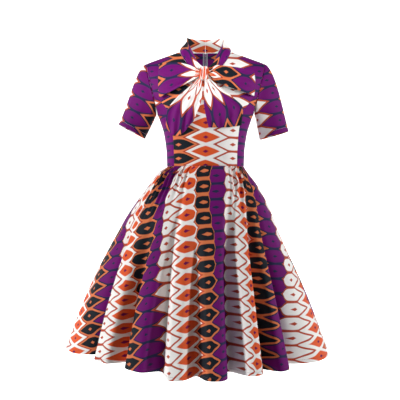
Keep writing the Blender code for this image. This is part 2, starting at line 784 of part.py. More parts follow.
def skirt_front():
    grid = skirt_grid(-SIDE_SEAM, SIDE_SEAM, FRONT_COLUMNS)
    cloth("skirt_front", grid, CLOTH, PRINT, flip=True)


def back_skirt_grid(side):
    """Outer points of a back skirt panel, from the centre back to the side seam."""
    grid = skirt_grid(SIDE_SEAM + SEAM_ANGLE, 180 - SEAM_ANGLE, BACK_COLUMNS)
    if side < 0:
        grid = skirt_grid(SEAM_ANGLE - 180, -SIDE_SEAM - SEAM_ANGLE, BACK_COLUMNS)
    return grid[::-1] if side > 0 else grid


def skirt_back(name, side):
    cloth(name, back_skirt_grid(side), CLOTH, PRINT, flip=side < 0)


def beside_centre_back(inside):
    """Points of each row of an inner wall from the centre back to a tape's width from it."""
    reach = np.linspace(0, TAPE_WIDTH, TAPE_COLUMNS)
    rows = []
    for row in np.swapaxes(inside, 0, 1):
        length = np.r_[0, np.cumsum(np.linalg.norm(np.diff(row, axis=0), axis=1))]
        rows.append(np.column_stack([np.interp(reach, length, row[:, k]) for k in range(3)]))
    return np.swapaxes(np.array(rows), 0, 1)


def zip_tape(name, side):
    """A zip tape on the inside of the centre back, from the neck seam to below the waist."""
    angle, height = back_grid()
    near = slice(0, TAPE_PANEL_COLUMNS)
    body = torso_inside(angle[near], height[near], 3, side, CLOTH + TAPE_GAP)
    skirt = moved_in(back_skirt_grid(side), CLOTH + TAPE_GAP, flip=side < 0)[:, 1:ZIP_ROWS]
    outer = np.concatenate([
        beside_centre_back(skirt[:, ::-1]),
        beside_centre_back(body[:, :-1]),
    ], axis=1)
    cloth(name, outer, TAPE, TAPE_CLOTH, flip=side > 0)


# The slider and the pull tab, both set out from the pin that joins them

def box(name, centre, size, finish):
    corners = np.array([(i, j, k) for i in (-1, 1) for j in (-1, 1) for k in (-1, 1)]) / 2
    faces = np.array([
        (0, 1, 3, 2), (4, 6, 7, 5), (0, 4, 5, 1), (2, 3, 7, 6), (0, 2, 6, 4), (1, 5, 7, 3),
    ])
    made = add_mesh(name, corners * np.array(size) + np.array(centre), faces, finish)
    made.data.shade_flat()
    return made


def rod(name, radius, length, finish, sides=16):
    """A round rod along X, centred on the origin."""
    turn_on = np.linspace(0, 2 * math.pi, sides, endpoint=False)
    ring = np.column_stack([np.zeros(sides), radius * np.cos(turn_on), radius * np.sin(turn_on)])
    points = np.concatenate([ring - (length / 2, 0, 0), ring + (length / 2, 0, 0)])
    mesh = bpy.data.meshes.new(name)
    sides_of = [(k, (k + 1) % sides, sides + (k + 1) % sides, sides + k) for k in range(sides)]
    caps = [tuple(range(sides))[::-1], tuple(range(sides, 2 * sides))]
    mesh.from_pydata(points.tolist(), [], sides_of + caps)
    mesh.materials.append(finish)
    placed = bpy.data.objects.new(name, mesh)
    bpy.context.collection.objects.link(placed)
    return placed


def combine(target, other, operation):
    """One Boolean step: the other object becomes a hidden helper."""
    step = target.modifiers.new(operation.lower(), "BOOLEAN")
    step.object = other
    step.operation = operation
    other.hide_render = True
    other.display_type = "WIRE"


def place(pieces, tilt):
    """Turn pieces about the pin's line and move them to it."""
    y = float(depth(0.0, SLIDER_HEIGHT, 3)) + SEAM_GAP
    slope = math.radians(SLIDER_TILT)
    out = BASE_CLEAR + PIN_OUT
    for piece in pieces:
        piece.location = (
            0,
            y + out * math.cos(slope),
            SLIDER_HEIGHT + WAIST_Z + out * math.sin(slope),
        )
        piece.rotation_euler = (math.radians(tilt), 0, 0)


def zip_slider():
    base_y = SLIDER_BASE[1] / 2 - PIN_OUT
    base = box("zip_slider", (0, base_y, 0), SLIDER_BASE, METAL)
    helpers = [rod("slider_pin", PIN_RADIUS, 2 * EAR_X + EAR_THICK / 2, METAL)]
    ear_tall = EAR_TOP - base_y
    for side in (-1, 1):
        centre = (side * EAR_X, EAR_TOP - ear_tall / 2, 0)
        helpers.append(box(f"slider_ear_{side}", centre, (EAR_THICK, ear_tall, EAR_LONG), METAL))
    for helper in helpers:
        combine(base, helper, "UNION")
    place([base, *helpers], SLIDER_TILT)


def zip_pull_tab():
    """The pull tab: an eye round the slider's pin, a narrow neck and a wider blade."""
    eye = PIN_RADIUS + PIN_CLEAR
    tab = rod("zip_pull_tab", eye + EYE_WALL, EYE_WIDTH, METAL)
    hole = rod("tab_hole", eye, EYE_WIDTH * 2, METAL)
    neck_top = -(eye + EYE_WALL / 2)
    neck_z = neck_top - TAB_NECK[1] / 2
    neck = box("tab_neck", (0, 0, neck_z), (TAB_NECK[0], TAB_THICK, TAB_NECK[1]), METAL)
    blade_z = neck_top - TAB_NECK[1] * BLADE_FROM - TAB_BLADE[1] / 2
    blade = box("tab_blade", (0, 0, blade_z), (TAB_BLADE[0], TAB_THICK, TAB_BLADE[1]), METAL)
    combine(tab, neck, "UNION")
    combine(tab, blade, "UNION")
    combine(tab, hole, "DIFFERENCE")
    place([tab, hole, neck, blade], TAB_TILT)


for old in list(bpy.data.objects):
    bpy.data.objects.remove(old, do_unlink=True)

PRINT = material("printed_crepe", PURPLE, 0.62)
TAPE_CLOTH = material("zip_tape_cloth", TAPE_GREY, 0.80)
METAL = material("nickel", NICKEL, 0.30, 1.0)

bodice_front()
bodice_side("bodice_side_right", -1)
bodice_side("bodice_side_left", 1)
bodice_back("bodice_back_right", -1)
bodice_back("bodice_back_left", 1)
for sleeve_name, sizes in SLEEVES.items():
    sleeve(sleeve_name, **sizes)
collar_half("collar_right", -1)
collar_half("collar_left", 1)
bow_knot()
for loop_name, loop_edges in LOOPS.items():
    bow_loop(loop_name, loop_edges)
for tail_name, tail_edges in TAILS.items():
    bow_tail(tail_name, tail_edges)
skirt_front()
skirt_back("skirt_back_right", -1)
skirt_back("skirt_back_left", 1)
zip_tape("zip_tape_right", -1)
zip_tape("zip_tape_left", 1)
zip_slider()
zip_pull_tab()
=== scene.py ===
"""A short-sleeved swing dress in printed crepe with a tie collar and a soft bow, as it hangs when worn.

Metres, +Z up. The dress faces -Y, and +X is its left side. Heights in the tables are measured from
the waist seam, and the print is measured in its own columns (about 87 mm) and rows (about 45 mm).
"""
import math

import bpy
import numpy as np
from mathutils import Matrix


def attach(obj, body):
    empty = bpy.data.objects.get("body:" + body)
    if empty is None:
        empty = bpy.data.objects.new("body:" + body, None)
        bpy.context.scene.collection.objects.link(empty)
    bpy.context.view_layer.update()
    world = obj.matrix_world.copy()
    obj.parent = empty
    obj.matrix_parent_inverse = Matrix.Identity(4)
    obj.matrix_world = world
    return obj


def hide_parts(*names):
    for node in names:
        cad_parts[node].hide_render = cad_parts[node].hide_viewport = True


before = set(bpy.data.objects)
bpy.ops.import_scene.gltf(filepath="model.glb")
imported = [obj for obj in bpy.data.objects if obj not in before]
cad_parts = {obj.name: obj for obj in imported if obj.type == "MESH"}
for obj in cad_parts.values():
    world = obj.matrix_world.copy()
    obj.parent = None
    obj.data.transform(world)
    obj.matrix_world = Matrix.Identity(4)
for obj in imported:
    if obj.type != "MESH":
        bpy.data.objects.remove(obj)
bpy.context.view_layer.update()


# Camera. It stands level in front of the dress, at the height of the upper skirt, as in the
# photograph, with the lens of a studio picture taken from about two and a half metres.
lens = bpy.data.cameras.new("camera")
lens.lens = 70.9
lens.sensor_width = 36.0
camera = bpy.data.objects.new("camera", lens)
camera.location = (-0.018, -2.6, -0.485)
camera.rotation_euler = (math.radians(90), 0, 0)
bpy.context.collection.objects.link(camera)
bpy.context.scene.camera = camera
bpy.context.scene.view_settings.view_transform = "Standard"


# Studio. A pale floor that curves up into a backdrop lit to white behind the dress, a soft lamp on
# each side that grazes the folds, a weak one in front, one for the neck and a dim sky.
def lamp(name, place, aim, size, watts, spread=180):
    """A square lamp at a place, turned to face a point. spread is its beam's angle in degrees."""
    light = bpy.data.lights.new(name, "AREA")
    light.size = size
    light.energy = watts
    light.spread = math.radians(spread)
    stand = bpy.data.objects.new(name, light)
    stand.location = place
    toward = np.array(aim) - np.array(place)
    flat = math.hypot(toward[0], toward[1])
    stand.rotation_euler = (math.atan2(flat, -toward[2]), 0, math.atan2(-toward[0], toward[1]))
    bpy.context.collection.objects.link(stand)


lamp("key_lamp", (-3.4, -1.25, 0.8), (0, 0, -0.3), 0.4, 118)
lamp("side_lamp", (3.4, -1.05, 0.6), (0, 0, -0.3), 0.4, 80)
lamp("fill_lamp", (0.9, -3.6, 1.2), (0, 0, -0.3), 0.6, 4)
lamp("neck_lamp", (-0.1, -1.6, 0.42), (0, 0, -0.06), 0.2, 0.32, spread=24)
lamp("back_lamp", (0.4, 2.2, 1.4), (0, 4, -0.4), 1.8, 60)

PALE = (0.93, 0.93, 0.93, 1)
sky = bpy.data.worlds.new("sky")
sky.use_nodes = True
sky_light = sky.node_tree.nodes["Background"]
sky_light.inputs["Color"].default_value = (1, 1, 1, 1)
sky_light.inputs["Strength"].default_value = 0.03
sky_seen = sky.node_tree.nodes.new("ShaderNodeBackground")
sky_path = sky.node_tree.nodes.new("ShaderNodeLightPath")
sky_mix = sky.node_tree.nodes.new("ShaderNodeMixShader")
for start, end in (
    (sky_path.outputs["Is Camera Ray"], sky_mix.inputs[0]),
    (sky_light.outputs[0], sky_mix.inputs[1]),
    (sky_seen.outputs[0], sky_mix.inputs[2]),
    (sky_mix.outputs[0], sky.node_tree.nodes["World Output"].inputs["Surface"]),
):
    sky.node_tree.links.new(start, end)
sky_seen.inputs["Color"].default_value = PALE
bpy.context.scene.world = sky

# The paper lies flat from FLOOR_FRONT to FLOOR_BACK and curves up behind that
FLOOR_Z = -1.43
FLOOR_FRONT = -5.0
FLOOR_BACK = 4.0
CURVE_DEPTH = 3.0
CURVE_RISE = 6.0
SWEEP_HALF = 9.0
SWEEP_POINTS = 41
run = np.linspace(0, 1, SWEEP_POINTS)
flat_y = FLOOR_FRONT + 2 * (FLOOR_BACK - FLOOR_FRONT) * run
curve = np.clip(run - 0.5, 0, 1) * math.pi
sweep_y = np.where(run < 0.5, flat_y, FLOOR_BACK + CURVE_DEPTH * np.sin(curve))
sweep_z = FLOOR_Z + CURVE_RISE * (1 - np.cos(curve))
sweep_x = np.array([-SWEEP_HALF, SWEEP_HALF])[:, None]
sweep = np.stack(np.broadcast_arrays(sweep_x, sweep_y, sweep_z), axis=-1)
paper = bpy.data.materials.new("backdrop_paper")
paper.use_nodes = True
paper_shader = paper.node_tree.nodes["Principled BSDF"]
paper_shader.inputs["Base Color"].default_value = PALE
paper_shader.inputs["Roughness"].default_value = 0.95
paper_shader.inputs["Emission Strength"].default_value = 0.9
# Behind the dress the paper glows, so it shows white: from none to all between two depths
paper_place = paper.node_tree.nodes.new("ShaderNodeTexCoord")
paper_parts = paper.node_tree.nodes.new("ShaderNodeSeparateXYZ")
paper_glow = paper.node_tree.nodes.new("ShaderNodeMapRange")
paper_glow.inputs["From Min"].default_value = 0.5
paper_glow.inputs["From Max"].default_value = 1.1
for start, end in (
    (paper_place.outputs["Object"], paper_parts.inputs[0]),
    (paper_parts.outputs["Y"], paper_glow.inputs["Value"]),
    (paper_glow.outputs[0], paper_shader.inputs["Emission Color"]),
):
    paper.node_tree.links.new(start, end)
backdrop_mesh = bpy.data.meshes.new("backdrop")
near_row = np.arange(SWEEP_POINTS)
far_row = near_row + SWEEP_POINTS
backdrop_faces = np.column_stack([near_row[:-1], far_row[:-1], far_row[1:], near_row[1:]])
backdrop_mesh.from_pydata(sweep.reshape(-1, 3).tolist(), [], backdrop_faces.tolist())
backdrop_mesh.materials.append(paper)
backdrop_mesh.shade_smooth()
backdrop = bpy.data.objects.new("backdrop", backdrop_mesh)
bpy.context.collection.objects.link(backdrop)


# Bodice front. One panel of printed crepe from shoulder to shoulder and down to the waist, cut
# with the print upside down to the skirt. Its edges turn in at the seams, a millimetre or so.
WAIST_Z = -0.376
CLOTH = 0.0012
SEAM_GAP = 0.0003
UNDERARM = 0.175

# The torso: (height, half width, depth in front, depth behind)
TORSO = np.array([
    (0.000, 0.1265, 0.092, 0.090),
    (0.050, 0.1285, 0.101, 0.093),
    (0.105, 0.1360, 0.121, 0.099),
    (0.140, 0.1460, 0.135, 0.105),
    (0.175, 0.1600, 0.131, 0.110),
    (0.195, 0.1720, 0.125, 0.113),
    (0.225, 0.1860, 0.116, 0.115),
    (0.270, 0.2020, 0.103, 0.112),
    (0.300, 0.2100, 0.096, 0.106),
    (0.345, 0.2160, 0.082, 0.096),
    (0.390, 0.2180, 0.068, 0.080),
])

# How square the torso's section is, where an ellipse would be 2, then the neck and the shoulders
SQUARENESS = 2.3
NECK_HALF = 0.086
NECK_SIDE = 0.378
NECK_BACK = 0.387
SHOULDER_HALF = 0.1925
SHOULDER_FALL = 0.357
NECK_RISE = 0.8
SHOULDER_TURN = 0.200
TURN_POWER = 3.0
TURN_ROOT = 2.2
NECK_FRONT = 0.300
NECK_FRONT_HALF = 0.010
NECK_SCOOP = 2.4

# The armhole edge: (height, distance from the centre)
ARMHOLE = np.array([
    (0.175, 0.1598),
    (0.195, 0.1620),
    (0.225, 0.1690),
    (0.270, 0.1800),
    (0.300, 0.1870),
    (0.342, 0.1925),
    (0.390, 0.1930),
])

# The princess seam: (height, distance from the centre)
PRINCESS = np.array([
    (0.000, 0.1020),
    (0.060, 0.1035),
    (0.110, 0.1070),
    (0.145, 0.1130),
    (0.175, 0.1230),
    (0.205, 0.1440),
    (0.228, 0.1690),
])
PRINCESS_TOP = 0.228
PRINCESS_GAP = 0.0005

# Drag lines in the bodice: (x and height of one end, x and height of the other, depth, half width)
DRAG_LINES = np.array([
    (-0.098, 0.020, -0.030, 0.042, 0.0014, 0.0070),
    (0.098, 0.014, 0.022, 0.030, 0.0012, 0.0060),
    (-0.090, 0.070, -0.040, 0.058, 0.0010, 0.0060),
    (0.095, 0.075, 0.045, 0.060, 0.0011, 0.0060),
    (-0.125, 0.050, -0.104, 0.030, 0.0012, 0.0050),
    (0.125, 0.056, 0.104, 0.034, 0.0012, 0.0050),
    (-0.158, 0.180, -0.120, 0.140, 0.0022, 0.0080),
    (0.158, 0.182, 0.122, 0.138, 0.0020, 0.0080),
    (-0.165, 0.215, -0.130, 0.180, 0.0018, 0.0080),
    (0.165, 0.212, 0.132, 0.176, 0.0018, 0.0080),
    (-0.060, 0.010, -0.045, 0.034, 0.0009, 0.0050),
    (0.060, 0.008, 0.050, 0.036, 0.0009, 0.0050),
])


# Each edge that turns in at a seam dips by this much, over this distance
ROLL_DIP = 0.0011
ROLL_HALF = 0.0022
SMALL_STEP = 0.002
SHARP_ANGLE = 50

# The print on the bodice: width of a column, height of a row, height above the waist of a row
PRINT_COLUMN = 0.0868
PRINT_ROW = 0.0436
PRINT_HEIGHT = 0.0458


def cubic(t, start, leaving, end, arriving):
    """From start to end as t goes from 0 to 1, with its slopes there, leaving and arriving."""
    out = (1 + 2 * t) * (1 - t) ** 2 * start + t * (1 - t) ** 2 * leaving
    return out + t * t * (3 - 2 * t) * end + t * t * (t - 1) * arriving


def through(rows, column, at):
    """A smooth curve through one column of a table, read at values of its first column."""
    order = np.argsort(rows[:, 0])
    x, y = rows[order, 0], rows[order, column]
    step = np.diff(x)
    rise = np.diff(y) / step
    slope = np.empty_like(y)
    slope[0], slope[-1] = rise[0], rise[-1]
    same_way = rise[:-1] * rise[1:] > 0
    total = rise[:-1] + rise[1:]
    slope[1:-1] = np.where(same_way, 2 * rise[:-1] * rise[1:] / np.where(total == 0, 1, total), 0)
    at = np.clip(np.asarray(at, float), x[0], x[-1])
    i = np.clip(np.searchsorted(x, at) - 1, 0, len(x) - 2)
    t = (at - x[i]) / step[i]
    return cubic(t, y[i], step[i] * slope[i], y[i + 1], step[i] * slope[i + 1])


def ease(t):
    """0 before 0, 1 after 1, and a smooth step between."""
    t = np.clip(t, 0, 1)
    return t * t * (3 - 2 * t)


def bell(away, half):
    """1 in the middle, falling to about a third at a distance of half."""
    return np.exp(-((away / half) ** 2))


def edge_spaced(count, pull=0.82):
    """Shares from 0 to 1 that lie closer together near both ends, where an edge turns in."""
    t = np.linspace(0, 1, count)
    return t - pull * np.sin(2 * math.pi * t) / (2 * math.pi)


def shoulder_line(x):
    """Height of the top of the shoulder. It goes on rising towards the middle of the neck."""
    out = np.abs(x) - NECK_HALF
    return NECK_SIDE - np.where(out > 0, SHOULDER_FALL, NECK_RISE) * out


def turn(x, height):
    """1 on the chest, falling to 0 where the cloth turns over the shoulder line."""
    t = np.clip((height - SHOULDER_TURN) / (shoulder_line(x) - SHOULDER_TURN), 0, 1)
    return (1 - t**TURN_POWER) ** (1 / TURN_ROOT)


def depth(x, height, column):
    """Distance of the cloth from the middle plane, in front (column 2) or behind (column 3)."""
    share = np.clip(np.abs(x) / through(TORSO, 1, height), 0, 1)
    side = (1 - share**SQUARENESS) ** (1 / SQUARENESS)
    return through(TORSO, column, height) * side * turn(x, height)


def armhole_x(height):
    """Distance of the armhole edge from the centre. Below the underarm it is the side seam."""
    return np.where(height < UNDERARM, through(TORSO, 1, height), through(ARMHOLE, 1, height))


def across_angle(x, height):
    """The angle whose sine is the share of the half width."""
    return np.arcsin(np.clip(x / through(TORSO, 1, height), -1, 1))


def to_world(x, y, height):
    """Points from x, y and a height above the waist seam."""
    return np.stack(np.broadcast_arrays(x, y, height + WAIST_Z), axis=-1)


def torso_points(angle, height, column, side=1):
    """Points of the form by angle across the body, in front (column 2) or behind (column 3)."""
    x = through(TORSO, 1, height) * np.sin(angle)
    facing = -1 if column == 2 else 1
    return to_world(side * x, facing * (depth(x, height, column) + SEAM_GAP), height)


def torso_inside(angle, height, column, side, distance):
    """The same points moved in along the form's normals, and kept on their side of the seams."""
    size = np.abs(angle)
    across = torso_points(np.minimum(size + SMALL_STEP, math.pi / 2), height, column)
    across = across - torso_points(size - SMALL_STEP, height, column)
    up = torso_points(size, height + SMALL_STEP, column) - torso_points(size, height - SMALL_STEP, column)
    normal = np.cross(across, up) * (1 if column == 2 else -1)
    normal /= np.linalg.norm(normal, axis=-1, keepdims=True)
    normal[..., 0] *= side * np.where(angle < 0, -1, 1)
    points = torso_points(angle, height, column, side) - normal * np.asarray(distance)[..., None]
    facing = -1 if column == 2 else 1
    points[..., 1] = facing * np.maximum(facing * points[..., 1], SEAM_GAP / 2)
    return points


def troughs(x, height, lines):
    """Depth of soft troughs: each is deepest along a straight line and fades out round it."""
    total = np.zeros(np.broadcast(x, height).shape)
    for x0, h0, x1, h1, deep, half in lines:
        run_x, run_h = x1 - x0, h1 - h0
        reach = ((x - x0) * run_x + (height - h0) * run_h) / (run_x**2 + run_h**2)
        reach = np.clip(reach, 0, 1)
        away = np.hypot(x - x0 - reach * run_x, height - h0 - reach * run_h)
        total += deep * bell(away, half) * np.sin(math.pi * (0.15 + 0.7 * reach))
    return total


def seam_roll(u, v, wide, tall):
    """How far the cloth dips where its edges turn in, on a panel of about this width and height."""
    near = np.minimum(np.minimum(u, 1 - u) * wide, np.minimum(v, 1 - v) * tall)
    return ROLL_DIP * bell(near, ROLL_HALF)


def quads(near, far):
    """Quads between two rows of point numbers."""
    return np.column_stack([near[:-1], near[1:], far[1:], far[:-1]])


def wall_faces(number, under):
    """Faces of a wall: its outer grid, its inner grid turned over, and the rim along the rows."""
    rows = number.shape[1]
    faces = [quads(number[:, k], number[:, k + 1]) for k in range(rows - 1)]
    faces += [quads(under[:, k + 1], under[:, k]) for k in range(rows - 1)]
    faces.append(quads(under[:, 0], number[:, 0]))
    faces.append(quads(number[:, -1], under[:, -1]))
    return faces


def print_map(column, row):
    """The print's coordinates at each point: its column and its row."""
    return np.stack(np.broadcast_arrays(column, row), axis=-1)


def add_mesh(name, points, faces, finish, uv=None, corners=None, sharp=True):
    """A mesh object with smooth faces. corners gives the row of uv for each corner of its faces."""
    mesh = bpy.data.meshes.new(name)
    mesh.from_pydata(points.reshape(-1, 3).tolist(), [], faces)
    if uv is not None:
        at_corners = uv.reshape(-1, 2)[corners].astype(np.float32)
        mesh.uv_layers.new(name="print").data.foreach_set("uv", at_corners.ravel())
    mesh.materials.append(finish)
    mesh.shade_smooth()
    if sharp:
        mesh.set_sharp_from_angle(angle=math.radians(SHARP_ANGLE))
    made = bpy.data.objects.new(name, mesh)
    bpy.context.collection.objects.link(made)
    return made


def cloth(name, outer, inner, uv, finish, closed=False, flip=False):
    """A wall of cloth between an outer and an inner grid of points. Both faces carry the print.

    uv has one more column than the points where the grid is closed, so the print can run on.
    """
    columns, rows = outer.shape[:2]
    number = np.arange(columns * rows).reshape(columns, rows)
    uv_number = np.arange(uv.shape[0] * rows).reshape(uv.shape[0], rows)
    if closed:
        number = np.concatenate([number, number[:1]])
    under = number + columns * rows
    faces = wall_faces(number, under)
    uv_faces = wall_faces(uv_number, uv_number)
    if not closed:
        faces += [quads(number[0], under[0]), quads(under[-1], number[-1])]
        uv_faces += [quads(uv_number[0], uv_number[0]), quads(uv_number[-1], uv_number[-1])]
    faces, uv_faces = np.concatenate(faces), np.concatenate(uv_faces)
    if flip:
        faces, uv_faces = faces[:, ::-1], uv_faces[:, ::-1]
    points = np.concatenate([outer.reshape(-1, 3), inner.reshape(-1, 3)])
    return add_mesh(name, points, faces.tolist(), finish, uv, uv_faces.ravel())


def math_node(operation, turned=False):
    """A method that adds a Math node. turned puts the other value first."""

    def method(self, *others):
        values = (*others, self) if turned else (self, *others)
        return self.add("ShaderNodeMath", {"operation": operation}, dict(enumerate(values)))

    return method


class Wire:
    """A value in a material's node tree. Arithmetic on it adds Math nodes."""

    __add__ = math_node("ADD")
    __radd__ = math_node("ADD", turned=True)
    __sub__ = math_node("SUBTRACT")
    __rsub__ = math_node("SUBTRACT", turned=True)
    __mul__ = math_node("MULTIPLY")
    __rmul__ = math_node("MULTIPLY", turned=True)
    __truediv__ = math_node("DIVIDE")
    __pow__ = math_node("POWER")
    __abs__ = math_node("ABSOLUTE")
    floor = math_node("FLOOR")
    fraction = math_node("FRACT")
    over = math_node("GREATER_THAN")
    under = math_node("LESS_THAN")

    def __init__(self, socket):
        self.socket = socket

    def add(self, kind, settings, values, out=0):
        """Adds a node of any type: its settings first, then the values or wires of its sockets."""
        return Wire(new_node(self.socket.id_data, kind, settings, values).outputs[out])

    def noise(self, scale, detail):
        """Cloudy noise from 0 to 1 at these coordinates."""
        return self.add("ShaderNodeTexNoise", {}, {"Vector": self, "Scale": scale, "Detail": detail})

    def clamped(self):
        return self.add("ShaderNodeClamp", {}, {0: self, 1: 0.0, 2: 1.0})

    def mixed(self, low, high):
        """A colour between two others, by this value."""
        values = {0: self, 6: low, 7: high}
        return self.add("ShaderNodeMix", {"data_type": "RGBA"}, values, 2)


def new_node(tree, kind, settings, values):
    """One node: its settings are set first, then its sockets get values, colours or wires."""
    node = tree.nodes.new(kind)
    for key, value in settings.items():
        setattr(node, key, value)
    for key, value in values.items():
        if isinstance(value, Wire):
            tree.links.new(value.socket, node.inputs[key])
        elif isinstance(value, tuple) and len(value) == 3 and node.inputs[key].type == "RGBA":
            node.inputs[key].default_value = (*value, 1.0)
        else:
            node.inputs[key].default_value = value
    return node


def new_material(name, constants):
    """An empty Principled material: the numbers that are the same all over it are set here."""
    made = bpy.data.materials.new(name)
    made.use_nodes = True
    shader = made.node_tree.nodes["Principled BSDF"]
    for key, value in constants.items():
        shader.inputs[key].default_value = value
    return made, made.node_tree, shader


def raised(tree, shader, relief, strength):
    """Gives a material the relief of a height in metres."""
    bump = new_node(tree, "ShaderNodeBump", {}, {"Strength": strength, "Distance": 1.0, "Height": relief})
    tree.links.new(bump.outputs[0], shader.inputs["Normal"])


def colour(red, green, blue):
    """A colour as it looks on screen, from 0 to 255, as the shader's linear numbers."""
    return tuple(((c / 255 + 0.055) / 1.055) ** 2.4 if c > 10 else c / 3295 for c in (red, green, blue))


PURPLE = colour(112, 6, 110)
NAVY = colour(38, 38, 78)
BLACK = colour(17, 27, 36)
ORANGE = colour(228, 90, 42)
SALMON = colour(224, 122, 76)
RUST = colour(186, 74, 50)
WHITE = colour(250, 247, 244)
PLUM = colour(112, 12, 78)

# The print's four columns: (edge to the next column, swing of that edge,
# core's half length, core's half height, bluntness of the core, eye's half length and half height)
EDGE, SWING, CORE_LENGTH, CORE_HEIGHT, BLUNTNESS, EYE_LENGTH, EYE_HEIGHT = range(7)
LOZENGES = {
    "white": (0.42, 0.27, 0.90, 0.440, 2.0, 0.135, 0.140),
    "orange": (0.52, 0.28, 0.55, 0.41, 1.25, 0.120, 0.13),
    "black": (0.50, 0.28, 0.74, 0.41, 1.75, 0.130, 0.14),
    "purple": (0.55, 0.28, 0.80, 0.44, 1.75, 0.100, 0.115),
}

# Bands of colour beside the zigzag in each column, by their width in mm square to it. In the black
# and purple columns a second, narrow one lies on one side only.
BANDS = {"white": 3.1, "orange": 2.0, "black": 6.0, "black_left": 1.8, "purple": 4.0, "purple_right": 2.0}
COLUMN_MM = 87
SQUARE_TO_ZIGZAG = 0.42
WOBBLE_ACROSS = 0.035
WOBBLE_DOWN = 0.05


def print_cloth():
    """Crepe printed with a half-drop lattice of lozenges in four columns of colour.

    The edge between two columns is a zigzag: its middle is a share of a column from the left one's
    centre, and it swings out at that column's rows and in between them. Each side of it is a cell.
    A cell has a core, where (across / half length) ** bluntness + down / half height is under 1,
    and an eye, the same with straight sides. Bands beside the zigzag go by the distance from it.
    """
    finish, tree, shader = new_material("printed_crepe", {
        "Specular IOR Level": 0.16,
        "Sheen Weight": 0.03,
        "Sheen Roughness": 0.45,
    })
    uv = Wire(new_node(tree, "ShaderNodeUVMap", {"uv_map": "print"}, {}).outputs[0])
    wobble = uv.noise(2.6, 2.0) - 0.5
    parts = new_node(tree, "ShaderNodeSeparateXYZ", {}, {0: uv})
    across = Wire(parts.outputs[0]) + wobble * WOBBLE_ACROSS
    down = Wire(parts.outputs[1]) + wobble * WOBBLE_DOWN

    def left_over(whole, number):
        """What is left when a whole number is divided by another."""
        return whole - number * (whole / number + 0.001).floor()

    first = across.floor()
    kind = left_over(first, 4)

    def masks(number):
        """Four masks, one for each kind of column."""
        return [abs(number - k).under(0.5) for k in range(4)]

    def pick(column, of_kind):
        """A number from the table, for the kind of column at each point."""
        return sum(mask * row[column] for mask, row in zip(of_kind, LOZENGES.values()))

    is_kind = masks(kind)
    edge_at = pick(EDGE, is_kind)
    swing = pick(SWING, is_kind)

    def off_row(odd):
        """Distance from the middle of a column's own rows, in rows, from -0.5 to 0.5."""
        shifted = down - odd * 0.5
        return shifted - (shifted + 0.5).floor()

    zigzag = 1 - 4 * abs(off_row(left_over(first, 2)))
    past = across - first - edge_at - swing * zigzag
    beyond = past.over(0.0)
    away = abs(past) * COLUMN_MM * SQUARE_TO_ZIGZAG

    own = kind + beyond
    own = own - 4 * own.over(3.5)
    odd = left_over(own, 2)
    from_middle = across - first - beyond
    from_row = abs(off_row(odd))
    is_own = masks(own)

    length = abs(from_middle)
    core = 1 - (length / pick(CORE_LENGTH, is_own)) ** pick(BLUNTNESS, is_own)
    core = ((core - from_row / pick(CORE_HEIGHT, is_own)) * 9).clamped()
    eye = 1 - length / pick(EYE_LENGTH, is_own) - from_row / pick(EYE_HEIGHT, is_own)
    eye = (eye * 4).clamped()

    def band(name):
        """1 within a band's width of the zigzag, with a soft edge."""
        return ((BANDS[name] - away) / 0.5 + 0.5).clamped()

    white = core.mixed(RUST, WHITE)
    white = eye.mixed(white, RUST)
    white = band("white").mixed(white, RUST)
    orange = core.mixed(WHITE, ORANGE)
    orange = eye.mixed(orange, PLUM)
    orange = band("orange").mixed(orange, RUST)
    black = (core * (1 - band("black"))).mixed(SALMON, BLACK)
    black = eye.mixed(black, SALMON)
    left_side = from_middle.under(0.0)
    black = (band("black_left") * left_side).mixed(black, RUST)
    purple = core.mixed(NAVY, PURPLE)
    purple = eye.mixed(purple, NAVY)
    purple = band("purple").mixed(purple, NAVY)
    purple = (band("purple_right") * (1 - left_side)).mixed(purple, RUST)
    printed = is_own[0].mixed(purple, white)
    printed = is_own[1].mixed(printed, orange)
    printed = is_own[2].mixed(printed, black)

    place = Wire(new_node(tree, "ShaderNodeTexCoord", {}, {}).outputs["Object"])
    cloudy = place.noise(9.0, 3.0)
    ink = place.noise(900.0, 1.0)
    shade = 0.90 + cloudy * 0.12 + ink * 0.08
    tinted = printed.add("ShaderNodeVectorMath", {"operation": "SCALE"}, {0: printed, "Scale": shade})
    tree.links.new(tinted.socket, shader.inputs["Base Color"])
    tree.links.new((0.66 + cloudy * 0.10 - ink * 0.06).socket, shader.inputs["Roughness"])

    crepe = place.noise(1500.0, 2.0)
    soft = place.noise(42.0, 2.0)
    raised(tree, shader, crepe * 0.00006 + soft * 0.0006, 0.55)
    return finish


def neckline(x):
    """Height of the front neckline at a distance from the centre."""
    share = np.clip((np.abs(x) - NECK_FRONT_HALF) / (NECK_HALF - NECK_FRONT_HALF), 0, 1)
    return NECK_FRONT + (NECK_SIDE - NECK_FRONT) * share**NECK_SCOOP


def back_neckline(x):
    """Height of the back neckline at a distance from the centre."""
    share = np.clip(np.abs(x) / NECK_HALF, 0, 1)
    return NECK_BACK + (NECK_SIDE - NECK_BACK) * share**2


def between(inner_x, outer_x, height, share):
    """Angles across the body, evenly spaced from a panel's inner edge to its outer edge."""
    low = across_angle(inner_x, height)
    return low + (across_angle(outer_x, height) - low) * share


def panel_top(share, inner_x, edge_x, neck):
    """Height where each column of a panel ends: on the neckline, or else on the shoulder line."""
    top = np.full(len(share), NECK_SIDE)
    for _ in range(30):
        angle = between(inner_x, edge_x(top), top, np.abs(share))
        x = through(TORSO, 1, top) * np.sin(angle)
        top = np.where(x < NECK_HALF, neck(x), shoulder_line(x))
    return top


def rising_heights(top, share):
    """Heights from the waist seam to the top edge, closer together near the top."""
    return SEAM_GAP + (top[:, None] - SEAM_GAP) * np.sin(share * math.pi / 2)[None, :]


